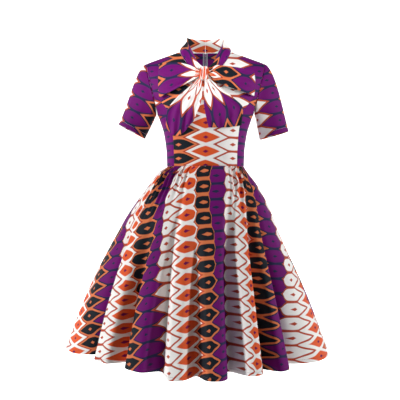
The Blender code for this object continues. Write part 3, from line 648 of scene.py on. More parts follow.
def front_edge(height):
    """The front panel's outer edge: the princess seam, then the armhole."""
    princess = through(PRINCESS, 1, height) - SEAM_GAP / 2
    return np.where(height < PRINCESS_TOP, np.minimum(princess, armhole_x(height)), armhole_x(height))


def bodice_print(points):
    """The print's columns go across from the centre front, and its rows go down from the bust."""
    x, height = points[..., 0], points[..., 2] - WAIST_Z
    return print_map(1 - x / PRINT_COLUMN, 0.5 + (PRINT_HEIGHT - height) / PRINT_ROW)


# The backs were cut two columns further along the cloth, so purple runs beside the zip. Their drag
# lines are like those of the front, a little longer and shallower.
BACK_PRINT = 2
BACK_DRAG_LINES = DRAG_LINES * (1, 1.1, 1, 0.9, 0.9, 1)


def bodice_panel(name, angle, height, column, side, roll, finish):
    """A panel of the bodice: the form, less its drag lines and the dip along its edges."""
    at = torso_points(angle, height, column, side)
    sink = roll + troughs(at[..., 0], height, DRAG_LINES if column == 2 else BACK_DRAG_LINES)
    outer = torso_inside(angle, height, column, side, sink)
    inner = torso_inside(angle, height, column, side, sink + CLOTH)
    print_at = bodice_print(outer) + ((BACK_PRINT, 0) if column == 3 else (0, 0))
    made = cloth(name, outer, inner, print_at, finish, flip=(side > 0) == (column == 3))
    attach(made, "dress")
    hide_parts(name)
    return made


PRINTED = print_cloth()
front_share = 2 * edge_spaced(151) - 1
front_rows = edge_spaced(96)
front_height = rising_heights(panel_top(front_share, 0, front_edge, neckline), front_rows)
front_angle = across_angle(front_edge(front_height), front_height) * front_share[:, None]
front_roll = seam_roll((front_share[:, None] + 1) / 2, front_rows[None, :], wide=0.30, tall=0.36)
bodice_panel("bodice_front", front_angle, front_height, 2, 1, front_roll, PRINTED)


# Side fronts. Two narrow panels of the same crepe from the side seams to the princess seams,
# which run up from the waist and out into the armholes. They give the bust its shape.

# Each row's last point stops short of the side seam, at this share of its step
SIDE_END = 0.7

# The print is shifted here by parts of a column and of a row
SIDE_PRINT = (-0.62, 0.12)
side_share = edge_spaced(41)
side_rows = edge_spaced(61)
side_height = SEAM_GAP + (PRINCESS_TOP - SEAM_GAP) * side_rows
side_seam = front_edge(side_height) + PRINCESS_GAP
side_edge = np.append(armhole_x(side_height)[:-1], side_seam[-1])
side_angle = between(side_seam, side_edge, side_height, side_share[:, None])
side_height = side_height + 0 * side_angle
side_x = through(TORSO, 1, side_height) * np.sin(side_angle)
side_roll = seam_roll(side_share[:, None], side_rows[None, :], wide=0.045, tall=0.24)
for name, side in (("bodice_side_right", -1), ("bodice_side_left", 1)):
    sink = side_roll + troughs(side * side_x, side_height, DRAG_LINES)
    walls = []
    for extra in (0, CLOTH):
        points = torso_inside(side_angle, side_height, 2, side, sink + extra)
        points[:, -1] = points[:, -2] + SIDE_END * (points[:, -1] - points[:, -2])
        walls.append(points)
    print_at = bodice_print(walls[0]) + (SIDE_PRINT[0] * side, SIDE_PRINT[1])
    panel = cloth(name, walls[0], walls[1], print_at, PRINTED, flip=side < 0)
    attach(panel, "dress")
    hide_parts(name)


# Backs. Two panels of the same crepe, which meet at the zip in the centre back. They run from the
# waist to the back of the neck and over to the shoulder seams.
BACK_GAP = 0.0008
back_share = edge_spaced(91)
back_rows = edge_spaced(96)
back_height = rising_heights(panel_top(back_share, BACK_GAP, armhole_x, back_neckline), back_rows)
back_angle = between(BACK_GAP, armhole_x(back_height), back_height, back_share[:, None])
back_roll = seam_roll(back_share[:, None], back_rows[None, :], wide=0.17, tall=0.36)
for name, side in (("bodice_back_right", -1), ("bodice_back_left", 1)):
    bodice_panel(name, back_angle, back_height, 3, side, back_roll, PRINTED)


# Sleeves. Each is one piece of crepe, sewn into a tube and set into the armhole. The hem is turned
# up 14 mm and stitched, and the print follows the sleeve, as it does in the photograph.
SLEEVES = {
    "sleeve_right": dict(side=-1, x=-0.2438, height=0.117, tilt=28.5, middle=1.84, turned=1, row=0.0396),
    "sleeve_left": dict(side=1, x=0.2274, height=0.104, tilt=15.9, middle=2.15, turned=-1, row=-0.004),
}
SLEEVE_HALF = 0.0495
SLEEVE_DEPTH = 0.0455
SLEEVE_Y = 0.004
SLEEVE_HEM = 0.014
HEM_THICKNESS = 1.5

# The dips at a row of stitches and at the armhole seam: depth and half width
STITCH_DIP = (0.0005, 0.0018)
SEAM_DIP = (0.0009, 0.003)
SLEEVE_LENGTH = 0.12
SLEEVE_ROUND = 0.30

# The cloth's own columns and rows, where it isn't drawn in
CLOTH_COLUMN = 0.087
CLOTH_ROW = 0.0455

# How a sleeve's lines leave the armhole and reach the hem, at the underarm and at the shoulder:
# (outwards, upwards, pull of the armhole end, pull of the hem end, gap at the seam)
SLEEVE_ENDS = np.array([
    (0.35, -0.94, 0.066, 0.099, 0.0015),
    (0.95, -0.28, 0.120, 0.220, 0.0004),
])

# Creases in a sleeve: (turn at one end, share of its length there, both at the other end, depth,
# half width)
SLEEVE_CREASES = np.array([
    (0.30, 0.10, 1.30, 0.42, 0.0030, 0.16),
    (5.90, 0.12, 5.00, 0.45, 0.0030, 0.16),
    (0.90, 0.04, 2.10, 0.20, 0.0020, 0.12),
    (5.40, 0.05, 4.20, 0.22, 0.0020, 0.12),
    (1.20, 0.60, 1.90, 0.96, 0.0018, 0.14),
    (4.70, 0.62, 4.30, 0.96, 0.0018, 0.14),
    (2.50, 0.50, 2.75, 0.90, 0.0012, 0.12),
])


def normals(points, closed=False):
    """Unit normals of a grid of points, from its two directions. A closed grid wraps its columns."""
    if closed:
        wide = np.concatenate([points[-1:], points, points[:1]])
        across = wide[2:] - wide[:-2]
    else:
        across = np.gradient(points, axis=0)
    up = np.gradient(points, axis=1)
    normal = np.cross(across, up)
    return normal / np.maximum(np.linalg.norm(normal, axis=-1, keepdims=True), 1e-12)


def lengths(points, axis):
    """Distance along each line of a grid from its start, along the given axis."""
    step = np.linalg.norm(np.diff(points, axis=axis), axis=-1)
    start = np.zeros_like(np.take(step, [0], axis=axis))
    return np.cumsum(np.concatenate([start, step], axis=axis), axis=axis)


def moved_in(outer, distance, closed=False, flip=False):
    """A grid moved inwards along its normals. flip is for a grid whose normals point inwards."""
    distance = np.asarray(distance)[..., None] if np.ndim(distance) else distance
    return outer + normals(outer, closed) * (distance if flip else -distance)


def to_last(points):
    """Distance along each line of a grid to its last point."""
    length = lengths(points, 1)
    return length[:, -1:] - length


def read_line(line, length, at):
    """Points of a line at given distances along it."""
    return np.column_stack([np.interp(at, length, line[:, k]) for k in range(3)])


def armhole_loop(count):
    """The armhole's edge as a closed loop on the +X side: up the front from the underarm, then down."""
    end = shoulder_line(SHOULDER_HALF)
    height = UNDERARM + (end - UNDERARM) * np.sin(np.linspace(0, 1, 120) * math.pi / 2)
    x = armhole_x(height)
    front = np.column_stack([x, -depth(x, height, 2), height])
    back = np.column_stack([x, depth(x, height, 3), height])[::-1]
    loop = np.concatenate([front, back[1:]])
    length = lengths(loop, 0)
    return read_line(loop, length, np.linspace(0, length[-1], count, endpoint=False))


def sleeve_points(side, x, height, tilt, columns, v):
    """Each line is a cubic that leaves the armhole along the shoulder and ends square to the hem."""
    turn_on = np.linspace(0, 2 * math.pi, columns, endpoint=False)
    top_share = (1 - np.cos(turn_on))[:, None] / 2
    ends = SLEEVE_ENDS[0] + (SLEEVE_ENDS[1] - SLEEVE_ENDS[0]) * top_share
    start = armhole_loop(columns)
    start[:, 0] += ends[:, 4]
    lean = math.radians(tilt)
    hem_line = np.array([math.cos(lean), 0, math.sin(lean)])
    end = (
        np.array([abs(x), SLEEVE_Y, height])
        - SLEEVE_HALF * np.cos(turn_on)[:, None] * hem_line
        - SLEEVE_DEPTH * np.sin(turn_on)[:, None] * np.array([0, 1, 0])
    )
    leaving = np.column_stack([ends[:, 0], np.zeros(columns), ends[:, 1]]) * ends[:, 2:3]
    arriving = np.array([math.sin(lean), 0, -math.cos(lean)]) * ends[:, 3:4]
    start, leaving, end, arriving = (k[:, None] for k in (start, leaving, end, arriving))
    points = cubic(v[None, :, None], start, leaving, end, arriving)
    points[..., 0] *= side
    points[..., 2] += WAIST_Z
    return turn_on, points


def beads(name, centre, along_it, outward, half_sizes, finish):
    """Many small rounded beads in one mesh: their middles, long directions and outward directions.

    A bead has four rings of six points, and its ends are closed by two quads each.
    """
    rings, sides = 4, 6
    share = np.linspace(-1, 1, rings)[:, None]
    ring = np.sqrt(1 - 0.75 * share**2)
    turn_on = np.linspace(0, 2 * math.pi, sides, endpoint=False)
    shape = np.stack(np.broadcast_arrays(share, ring * np.cos(turn_on), ring * np.sin(turn_on)), axis=-1)
    axes = np.stack([along_it, outward, np.cross(along_it, outward)], axis=1)
    points = centre[:, None] + (shape.reshape(-1, 3) * half_sizes) @ axes
    number = np.arange(rings * sides).reshape(rings, sides)
    number = np.concatenate([number, number[:, :1]], axis=1)
    faces = [quads(number[k], number[k + 1]) for k in range(rings - 1)]
    faces.append(np.array([(3, 2, 1, 0), (5, 4, 3, 0), (21, 22, 23, 18), (19, 20, 21, 18)]))
    faces = np.arange(len(centre))[:, None, None] * rings * sides + np.concatenate(faces)[None]
    made = add_mesh(name, points, faces.reshape(-1, 4).tolist(), finish)
    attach(made, "dress")
    return made


def stitch_line(name, grid, from_edge, up, closed, flip, finish):
    """Stitches on a grid of cloth, along the line that lies a distance up from its last row."""
    columns = np.arange(len(grid))
    row = (from_edge >= up).sum(axis=1) - 1
    near, far = from_edge[columns, row], from_edge[columns, row + 1]
    share = ((near - up) / (near - far))[:, None]
    line = grid[columns, row] * (1 - share) + grid[columns, row + 1] * share
    outward = normals(grid, closed)[columns, row] * (-1 if flip else 1)
    if closed:
        line, outward = np.concatenate([line, line[:1]]), np.concatenate([outward, outward[:1]])
    length = lengths(line, 0)
    at = np.arange(STITCH_PITCH, length[-1] - STITCH_PITCH / 2, STITCH_PITCH)
    centre = read_line(line, length, at)
    out = read_line(outward, length, at)
    direction = read_line(line, length, at + 0.001) - centre
    direction /= np.linalg.norm(direction, axis=1)[:, None]
    out -= direction * (out * direction).sum(axis=1)[:, None]
    out /= np.linalg.norm(out, axis=1)[:, None]
    return beads(name, centre, direction, out, STITCH_HALF, finish)


STITCH_PITCH = 0.0034
STITCH_HALF = np.array([0.0013, 0.00030, 0.00034])
THREAD, _, _ = new_material("sewing_thread", {
    "Base Color": (*colour(214, 176, 206), 1), "Roughness": 0.5, "Specular IOR Level": 0.4,
})
sleeve_rows = edge_spaced(71, 0.7)
for name, s in SLEEVES.items():
    turn_on, points = sleeve_points(s["side"], s["x"], s["height"], s["tilt"], 128, sleeve_rows)
    crease = troughs(turn_on[:, None], sleeve_rows[None, :], SLEEVE_CREASES)
    to_hem = to_last(points)
    stitched = STITCH_DIP[0] * bell(to_hem - SLEEVE_HEM, STITCH_DIP[1])
    at_seam = SEAM_DIP[0] * bell(sleeve_rows[None, :] * SLEEVE_LENGTH, SEAM_DIP[1])
    outward = s["side"] > 0
    points = moved_in(points, crease + stitched + at_seam, closed=True, flip=outward)
    thick = CLOTH * np.where(to_hem < SLEEVE_HEM, HEM_THICKNESS, 1.0)
    inner = moved_in(points, thick, closed=True, flip=outward)
    round_u = np.append(turn_on, 2 * math.pi)[:, None]
    round_hem = np.concatenate([to_hem, to_hem[:1]])
    column = 3 + s["turned"] * (round_u - s["middle"]) * SLEEVE_ROUND / (2 * math.pi) / CLOTH_COLUMN
    print_at = print_map(column, 0.5 + (s["row"] - round_hem) / CLOTH_ROW)
    tube = cloth(name, points, inner, print_at, PRINTED, closed=True, flip=outward)
    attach(tube, "dress")
    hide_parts(name)
    sewn = stitch_line(f"{name}_stitches", points, to_hem, SLEEVE_HEM, True, outward, THREAD)


# Collar. The tie is sewn to the neck seam as a standing band in two halves, cut lengthwise along
# the print, and it runs from the zip round the neck to the knot. It rolls slightly outwards.
COLLAR_TOP = np.array([
    (0.0004, 0.0500, 0.4290),
    (0.0400, 0.0385, 0.4290),
    (0.0625, 0.0000, 0.4270),
    (0.0560, -0.0360, 0.3985),
    (0.0390, -0.0680, 0.3610),
    (0.0260, -0.0890, 0.3310),
    (0.0120, -0.1060, 0.3140),
])
COLLAR_RISE = 0.0009
COLLAR_ROLL = 0.006
ROLL_AT = 0.45
ROLL_LENGTH = 0.22

# The print on the collar: the row at the neck seam, and how many rows go up it
COLLAR_PRINT = (0.33, 0.95)

# Small folds where the collar is drawn to the knot: (share along and share up of one end, the same
# of the other, depth, half width)
COLLAR_FOLDS = np.array([
    (1.00, 0.30, 0.72, 0.10, 0.0022, 0.05),
    (1.00, 0.60, 0.66, 0.42, 0.0020, 0.05),
    (1.00, 0.85, 0.75, 0.78, 0.0016, 0.04),
    (0.52, 0.10, 0.44, 0.80, 0.0014, 0.04),
    (0.34, 0.15, 0.30, 0.80, 0.0010, 0.03),
])


def along(points, share):
    """A smooth curve through a short list of points, read at shares 0 to 1 of its length."""
    chord = lengths(points, 0)
    rows = np.column_stack([chord / chord[-1], points])
    return np.stack([through(rows, k + 1, share) for k in range(points.shape[1])], axis=-1)


def neck_seam():
    """The neck edges of the back and front panels on the +X side, from the centre back to the knot."""
    back = torso_points(back_angle[:, -1], back_height[:, -1], 3)
    front = torso_points(front_angle[:, -1], front_height[:, -1], 2)[::-1]
    on_neck = (front[:, 0] < NECK_HALF + SEAM_GAP) & (front[:, 0] > NECK_FRONT_HALF)
    return np.concatenate([back[back[:, 0] < NECK_HALF - SEAM_GAP], front[on_neck]])


collar_share = edge_spaced(141, 0.5)
collar_rows = edge_spaced(31, 0.7)
edge = neck_seam()
edge_length = lengths(edge, 0)
seam = read_line(edge, edge_length, collar_share * edge_length[-1])
top = along(COLLAR_TOP, collar_share) + (0, 0, WAIST_Z)
rise = top - seam
seam = seam + rise / np.linalg.norm(rise, axis=1)[:, None] * COLLAR_RISE
band = seam[:, None] + (top - seam)[:, None] * collar_rows[None, :, None]
outwards = seam * (1, 1, 0)
outwards /= np.linalg.norm(outwards, axis=1)[:, None]
at_side = bell(collar_share - ROLL_AT, ROLL_LENGTH)
roll = COLLAR_ROLL * at_side[:, None] * np.sin(2 * math.pi * collar_rows)[None, :]
band = band + outwards[:, None] * roll[..., None]
dip = troughs(collar_share[:, None], collar_rows[None, :], COLLAR_FOLDS)
middle_row = len(collar_rows) // 2
collar_length = lengths(band, 0)[:, middle_row, None]
for name, side in (("collar_right", -1), ("collar_left", 1)):
    half = band * (side, 1, 1)
    half = moved_in(half, dip, flip=side > 0)
    inner = moved_in(half, CLOTH, flip=side > 0)
    row = COLLAR_PRINT[0] + COLLAR_PRINT[1] * collar_rows[None, :]
    print_at = print_map(1 - side * collar_length / CLOTH_COLUMN, row)
    piece = cloth(name, half, inner, print_at, PRINTED, flip=side > 0)
    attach(piece, "dress")
    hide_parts(name)


# Knot. The tie is wrapped once round itself and pulled tight, so it stands in upright pleats of
# uneven width. It is modelled as a closed form, on the knot's solid.
KNOT_X = -0.006
KNOT_Y = -0.1160
KNOT_HEIGHT = 0.2905
KNOT_HALF = (0.0156, 0.0165, 0.0215)
KNOT_LEAN = 0.0022

# The knot's pleats: (how many, depth as a share of the half width)
KNOT_MAIN = (9, 0.090)
KNOT_FINE = (19, 0.035)
KNOT_BLUNT = 0.36

around = np.linspace(0, 2 * math.pi, 180, endpoint=False)[:, None]
up = np.linspace(-0.5, 0.5, 49)[None, 1:-1] * math.pi
pleat = 1 + KNOT_MAIN[1] * np.cos(KNOT_MAIN[0] * around + 1.1 * np.sin(up)) * np.cos(up) ** 0.5
pleat = pleat + KNOT_FINE[1] * np.cos(KNOT_FINE[0] * around + 1.3 + 0.8 * np.sin(up)) * np.cos(up)
flat_share = np.cos(up) ** KNOT_BLUNT * (0.84 + 0.10 * np.abs(np.sin(up))) * pleat
knot_x = KNOT_X + KNOT_LEAN * np.sin(up) + KNOT_HALF[0] * np.cos(around) * flat_share
knot_y = KNOT_Y + KNOT_HALF[1] * np.sin(around) * flat_share
knot_height = KNOT_HEIGHT + KNOT_HALF[2] * np.sin(up) + 0 * knot_x
knot_ends = to_world(KNOT_X, KNOT_Y, KNOT_HEIGHT + KNOT_HALF[2] * np.array([-1, 1]))
knot_points = np.concatenate([to_world(knot_x, knot_y, knot_height).reshape(-1, 3), knot_ends])
knot_columns, knot_rows = knot_x.shape
number = np.arange(knot_columns * knot_rows).reshape(knot_columns, knot_rows)
number = np.concatenate([number, number[:1]])
uv_number = np.arange((knot_columns + 1) * knot_rows).reshape(knot_columns + 1, knot_rows)
faces, uv_faces = (
    np.concatenate([quads(grid[:, k], grid[:, k + 1]) for k in range(knot_rows - 1)])
    for grid in (number, uv_number)
)
bottom, top_end = len(knot_points) - 2, len(knot_points) - 1
fans, uv_fans = (
    np.concatenate([
        np.column_stack([np.full(knot_columns, low), grid[1:, 0], grid[:-1, 0]]),
        np.column_stack([np.full(knot_columns, high), grid[:-1, -1], grid[1:, -1]]),
    ])
    for grid, low, high in ((number, bottom, top_end), (uv_number, 0, knot_rows - 1))
)
knot_turn = np.append(around, 2 * math.pi)[:, None]
knot_u = 0.40 + 0.36 * np.cos(5 * knot_turn + 1.1 + 0.5 * np.sin(up))
knot_v = 0.5 + 0.16 * np.sin(up) + 0.05 * np.sin(3 * knot_turn)
knot_uv = print_map(knot_u, knot_v)
corners = np.concatenate([uv_faces.ravel(), uv_fans.ravel()])
knot_faces = faces.tolist() + fans.tolist()
knot = add_mesh("bow_knot", knot_points, knot_faces, PRINTED, knot_uv, corners, sharp=False)
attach(knot, "dress")
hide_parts("bow_knot")


# Bow loops. The tie goes out over the chest from the knot, folds, and comes back under itself, so
# each loop is open along its edges. It is gathered in the knot and flat at the fold.
# (x, height of the upper edge, height of the lower edge), from the knot outwards
LOOPS = {
    "bow_loop_right": np.array([
        (-0.0225, 0.3010, 0.2800),
        (-0.0550, 0.3200, 0.2620),
        (-0.0900, 0.3300, 0.2430),
        (-0.1480, 0.3310, 0.2175),
    ]),
    "bow_loop_left": np.array([
        (0.0105, 0.3040, 0.2790),
        (0.0400, 0.3180, 0.2600),
        (0.0850, 0.3150, 0.2430),
        (0.1550, 0.3060, 0.2230),
    ]),
}
LOOP_CLEAR = 0.0035
LOOP_PUFF = 0.013
LOOP_PLEATS = 4
LOOP_PLEAT_DEPTH = 0.0022
LOOP_FINE_PLEATS = 9
LOOP_FINE_DEPTH = 0.0007
LOOP_FOLD_BOW = 0.004
MOST_LEAN = 1.9
KNOT_SPREAD = 0.2
KNOT_PULL = 0.42

# The print on each loop: (column at the knot, columns per metre, a row, share of the width that it
# lies at, rows across the width)
LOOP_PRINT = {
    "bow_loop_right": (4.02, -1 / 0.087, 0.5, 0.72, 1.96),
    "bow_loop_left": (1.15, 1 / 0.065, 0.0, 0.70, 1.5),
}


def chest_lean(x, height):
    """How much further a step straight forward is than one square to the chest."""
    out = np.abs(x)
    across = depth(out + SMALL_STEP, height, 2) - depth(out - SMALL_STEP, height, 2)
    up = depth(x, height + SMALL_STEP, 2) - depth(x, height - SMALL_STEP, 2)
    across, up = across / (2 * SMALL_STEP), up / (2 * SMALL_STEP)
    return np.clip(np.sqrt(1 + across**2 + up**2), 1, MOST_LEAN)


def fan_depth(x, height, out, share):
    """Forward of the chest, and near the knot drawn forward to meet the knot's side."""
    on_chest = -depth(x, height, 2) - SEAM_GAP - out * chest_lean(x, height)
    at_knot = KNOT_Y - out * KNOT_SPREAD
    pull = 1 - ease(share / KNOT_PULL)
    return on_chest + (np.minimum(at_knot, on_chest) - on_chest) * pull


for name, rows_of_edges in LOOPS.items():
    path = np.linspace(0, 1, 161)[:, None]
    reach = np.sin((1 - np.abs(2 * path - 1)) * math.pi / 2)
    edges = along(rows_of_edges, reach[:, 0])
    v = edge_spaced(61, 0.6)[None, :]
    height = edges[:, 2:3] + (edges[:, 1:2] - edges[:, 2:3]) * v
    x = edges[:, :1] * (1 + 0 * v)
    x = x + np.sign(x) * LOOP_FOLD_BOW * np.sin(math.pi * v) * reach**3
    front = np.where(path < 0.5, 1.0, -1.0)
    open_half = LOOP_PUFF / 2 * np.sqrt(1 - reach**4) * (0.35 + 0.65 * ease(2 * reach))
    fine = np.cos(2 * math.pi * LOOP_FINE_PLEATS * v + 2.0) * LOOP_FINE_DEPTH
    fine = fine * (1 - reach) * (1 - reach**2)
    pleats = np.cos(2 * math.pi * LOOP_PLEATS * v + 0.5 * reach) * LOOP_PLEAT_DEPTH * (1 - reach**2)
    out = LOOP_CLEAR + LOOP_PUFF / 2 + front * open_half + (pleats + fine) * (0.6 + 0.4 * front)
    points = to_world(x, fan_depth(x, height, out, reach), height)
    flip = name.endswith("right")
    column, per_metre, row_at, share_at, row_count = LOOP_PRINT[name]
    middle_row = v.shape[1] // 2
    length = lengths(points, 0)[:, middle_row, None]
    print_at = print_map(column + per_metre * length, row_at + (share_at - v) * row_count)
    loop = cloth(name, points, moved_in(points, CLOTH, flip=flip), print_at, PRINTED, flip=flip)
    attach(loop, "dress")
    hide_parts(name)


# Bow tails. The two ends of the tie hang from the knot and fan out over the bust in soft pleats.
# The right one is cut to a point and the left one straight, as they show in the photograph.
# (inner x, inner height, outer x, outer height), from the knot downwards
TAILS = {
    "bow_tail_right": np.array([
        (-0.0130, 0.2690, -0.0230, 0.2750),
        (-0.0120, 0.2380, -0.0580, 0.2440),
        (-0.0143, 0.2050, -0.0940, 0.2120),
        (-0.0270, 0.1690, -0.1230, 0.1700),
        (-0.0395, 0.1375, -0.1280, 0.1250),
    ]),
    "bow_tail_left": np.array([
        (-0.0030, 0.2680, 0.0125, 0.2748),
        (-0.0055, 0.2360, 0.0500, 0.2430),
        (-0.0055, 0.2020, 0.0880, 0.2130),
        (-0.0010, 0.1640, 0.1180, 0.1800),
        (0.0097, 0.1180, 0.1140, 0.1280),
    ]),
}
TAIL_POINT = {"bow_tail_right": 0.036, "bow_tail_left": 0.004}
TIE_CLOTH = 0.0016
TAIL_CLEAR = 0.0050
TAIL_PLEATS = 4
TAIL_PLEAT_DEPTH = 0.0030
TAIL_FINE_PLEATS = 9
TAIL_FINE_SHARE = 0.22
TAIL_REACH = 1.6
POINT_SKEW = 1.15

# The print on each tail: (distance from the knot to the white column, row at the inner edge, rows)
TAIL_PRINT = {
    "bow_tail_right": (0.070, 0.0, 2.0),
    "bow_tail_left": (0.035, -0.42, 2.5),
}

for name, rows_of_edges in TAILS.items():
    down = edge_spaced(101, 0.6)
    edges = along(rows_of_edges, down)
    u = edge_spaced(101, 0.6)[:, None]
    x = edges[:, 0] + (edges[:, 2] - edges[:, 0]) * u
    height = edges[:, 1] + (edges[:, 3] - edges[:, 1]) * u
    point = TAIL_POINT[name] * np.sin(math.pi * u**POINT_SKEW) * ease(2 * down - 1)
    pleats = np.cos(2 * math.pi * (TAIL_PLEATS * u + 0.1))
    fine = TAIL_FINE_SHARE * np.cos(2 * math.pi * (TAIL_FINE_PLEATS * u + 0.3)) * (1 - down)
    out = TAIL_CLEAR + TAIL_PLEAT_DEPTH * (0.35 + 0.65 * down) * (pleats + fine)
    points = to_world(x, fan_depth(x, height - point, out, down * TAIL_REACH), height - point)
    flip = name.endswith("left")
    white_at, row_at, row_count = TAIL_PRINT[name]
    print_at = print_map(4 - (lengths(points, 1) - white_at) / CLOTH_COLUMN, row_at + row_count * u)
    tail = cloth(name, points, moved_in(points, TIE_CLOTH, flip=flip), print_at, PRINTED, flip=flip)
    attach(tail, "dress")
    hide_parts(name)


# Skirt front. One flared panel, gathered into the waist seam on both sides of a flat centre, which
# falls in deep soft folds with crisp edges. The print's columns run down it and spread to the hem.
SKIRT_DROP = 0.605

# The skirt's profile: (height, half width, sideways shift of the centre)
SKIRT = np.array([
    (0.000, 0.1265, 0.000),
    (-0.015, 0.1425, -0.007),
    (-0.035, 0.1600, -0.008),
    (-0.060, 0.1780, -0.008),
    (-0.112, 0.2130, -0.012),
    (-0.165, 0.2430, -0.018),
    (-0.210, 0.2640, -0.022),
    (-0.255, 0.2865, -0.0245),
    (-0.353, 0.3350, -0.0265),
    (-0.449, 0.3770, -0.0265),
    (-0.605, 0.4355, -0.0245),
])

# How much shorter the section's half is from front to back than across, at the waist and the hem
WAIST_FLAT = 0.0350
HEM_FLAT = 0.0220

# How much lower the hem hangs than the skirt's drop: (angle at the hem, extra drop)
HEM_DROP = np.array([
    (-180.0, 0.000),
    (-110.0, -0.010),
    (-80.0, -0.030),
    (-50.0, -0.030),
    (-34.0, -0.021),
    (-20.0, -0.007),
    (-9.0, 0.009),
    (9.0, 0.009),
    (14.0, 0.003),
    (30.0, -0.002),
    (52.0, -0.011),
    (80.0, -0.006),
    (110.0, 0.000),
    (180.0, 0.000),
])

# Where a length of hem is gathered into the waist seam: (angle at the hem, angle at the waist)
SPREAD = np.array([
    (-180.0, -180.0),
    (-88.0, -90.0),
    (-46.0, -72.0),
    (-30.0, -32.0),
    (0.0, 0.0),
    (11.7, 29.0),
    (26.5, 60.0),
    (39.0, 72.0),
    (88.0, 90.0),
    (180.0, 180.0),
])

# The skirt's folds, by angle from the centre front at the hem:
# (crest, outer edge of the crest, valley, depth of the valley, share of the drop where it starts)
FOLDS = np.array([
    (-165.0, -170.0, -176.0, 0.034, 0.22),
    (-145.0, -150.0, -156.0, 0.042, 0.12),
    (-122.0, -128.0, -134.0, 0.046, 0.08),
    (-99.0, -105.0, -110.0, 0.040, 0.15),
    (-62.0, -76.0, -84.0, 0.036, 0.10),
    (-38.0, -45.0, -48.5, 0.048, 0.16),
    (-23.0, -29.3, -31.8, 0.044, 0.22),
    (-8.0, -11.0, -15.5, 0.032, 0.10),
    (7.0, 3.8, 0.0, 0.030, 0.22),
    (8.4, 11.4, 14.0, 0.046, 0.06),
    (21.5, 26.0, 28.4, 0.046, 0.03),
    (34.0, 38.6, 41.4, 0.042, 0.05),
    (56.0, 72.0, 80.0, 0.036, 0.10),
    (97.0, 104.0, 109.0, 0.042, 0.12),
    (121.0, 127.0, 133.0, 0.046, 0.08),
    (143.0, 149.0, 156.0, 0.040, 0.14),
    (166.0, 170.0, 176.0, 0.034, 0.22),
])

# Sharp creases in the valleys, where the cloth folds back on itself: (angle, depth, half width)
CREASES = np.array([
    (-176.0, 0.016, 2.6),
    (-156.0, 0.022, 2.6),
    (-134.0, 0.024, 2.6),
    (-110.0, 0.022, 2.6),
    (-84.0, 0.022, 2.6),
    (-49.5, 0.030, 2.8),
    (-33.0, 0.034, 2.8),
    (-16.8, 0.036, 3.0),
    (-1.0, 0.040, 3.0),
    (15.2, 0.046, 3.2),
    (29.6, 0.036, 2.8),
    (42.4, 0.030, 2.8),
    (80.0, 0.022, 2.6),
    (109.0, 0.022, 2.6),
    (133.0, 0.024, 2.6),
    (156.0, 0.020, 2.6),
    (176.0, 0.016, 2.6),
])

# A crest's outer edge lies EDGE_DROP further in than the crest, and folds deepen down to FOLD_END
EDGE_DROP = 0.003
FOLD_END = 1.05
FOLD_POWER = 0.8

# The side seam's angle, the angle left open at a seam, and the share of the drop where the section
# has become an ellipse
SIDE_SEAM = 88.0
SEAM_ANGLE = 0.16
ROUND_FROM = 0.25

# The gathers under the waist seam. They are deepest at a share of the drop and fade out above and
# below it, and they are calmer round the side seams and gone in the flat centres.
GATHERS = 46
GATHER_DRIFT = 1.5
GATHER_DEPTH = 0.0125
GATHER_PEAK = 0.035
GATHER_FADE = 0.17
FINE_GATHERS = 61
FINE_DEPTH = 0.0042
FINE_FADE = 0.11
SIDE_CALM = 0.85
SIDE_HALF = 34.0
FLAT_CENTRE = 9.0
FLAT_FRONT = 21.0
FLAT_BACK = 9.0
FLAT_FADE = 10.0

# Where the print's columns fall on the front: (column, hem angle of the line that it lies on
# at 0.165, 0.375, 0.61 and all of the drop)
COLUMNS = np.array([
    (-2.0, -170.0, -150.0, -128.0, -104.0),
    (0.0, -132.0, -118.0, -102.0, -78.0),
    (1.0, -112.0, -95.0, -77.0, -60.5),
    (2.0, -96.0, -74.0, -65.0, -52.0),
    (3.0, -80.0, -59.0, -53.5, -48.2),
    (4.0, -64.0, -52.0, -45.5, -41.5),
    (5.0, -52.0, -46.5, -37.3, -34.2),
    (6.0, -41.6, -34.0, -32.0, -26.5),
    (7.0, -33.9, -26.2, -25.4, -19.2),
    (8.0, -29.1, -20.6, -15.2, -10.4),
    (9.0, -11.9, -7.7, -5.2, -3.3),
    (10.0, 0.1, 5.0, 5.2, 4.6),
    (11.0, 6.8, 10.5, 10.1, 9.8),
    (12.0, 15.1, 18.9, 18.7, 18.9),
    (13.0, 21.5, 26.3, 24.2, 22.7),
    (14.0, 32.1, 35.3, 31.3, 28.8),
    (15.0, 52.0, 53.0, 44.6, 33.2),
    (16.0, 80.0, 76.0, 56.0, 43.8),
    (17.0, 100.0, 95.0, 74.0, 60.0),
    (18.0, 118.0, 110.0, 92.0, 82.0),
    (19.0, 132.0, 124.0, 110.0, 98.0),
    (21.0, 160.0, 154.0, 140.0, 128.0),
])
COLUMN_LEVELS = np.array([0.165, 0.375, 0.61, 1.0])

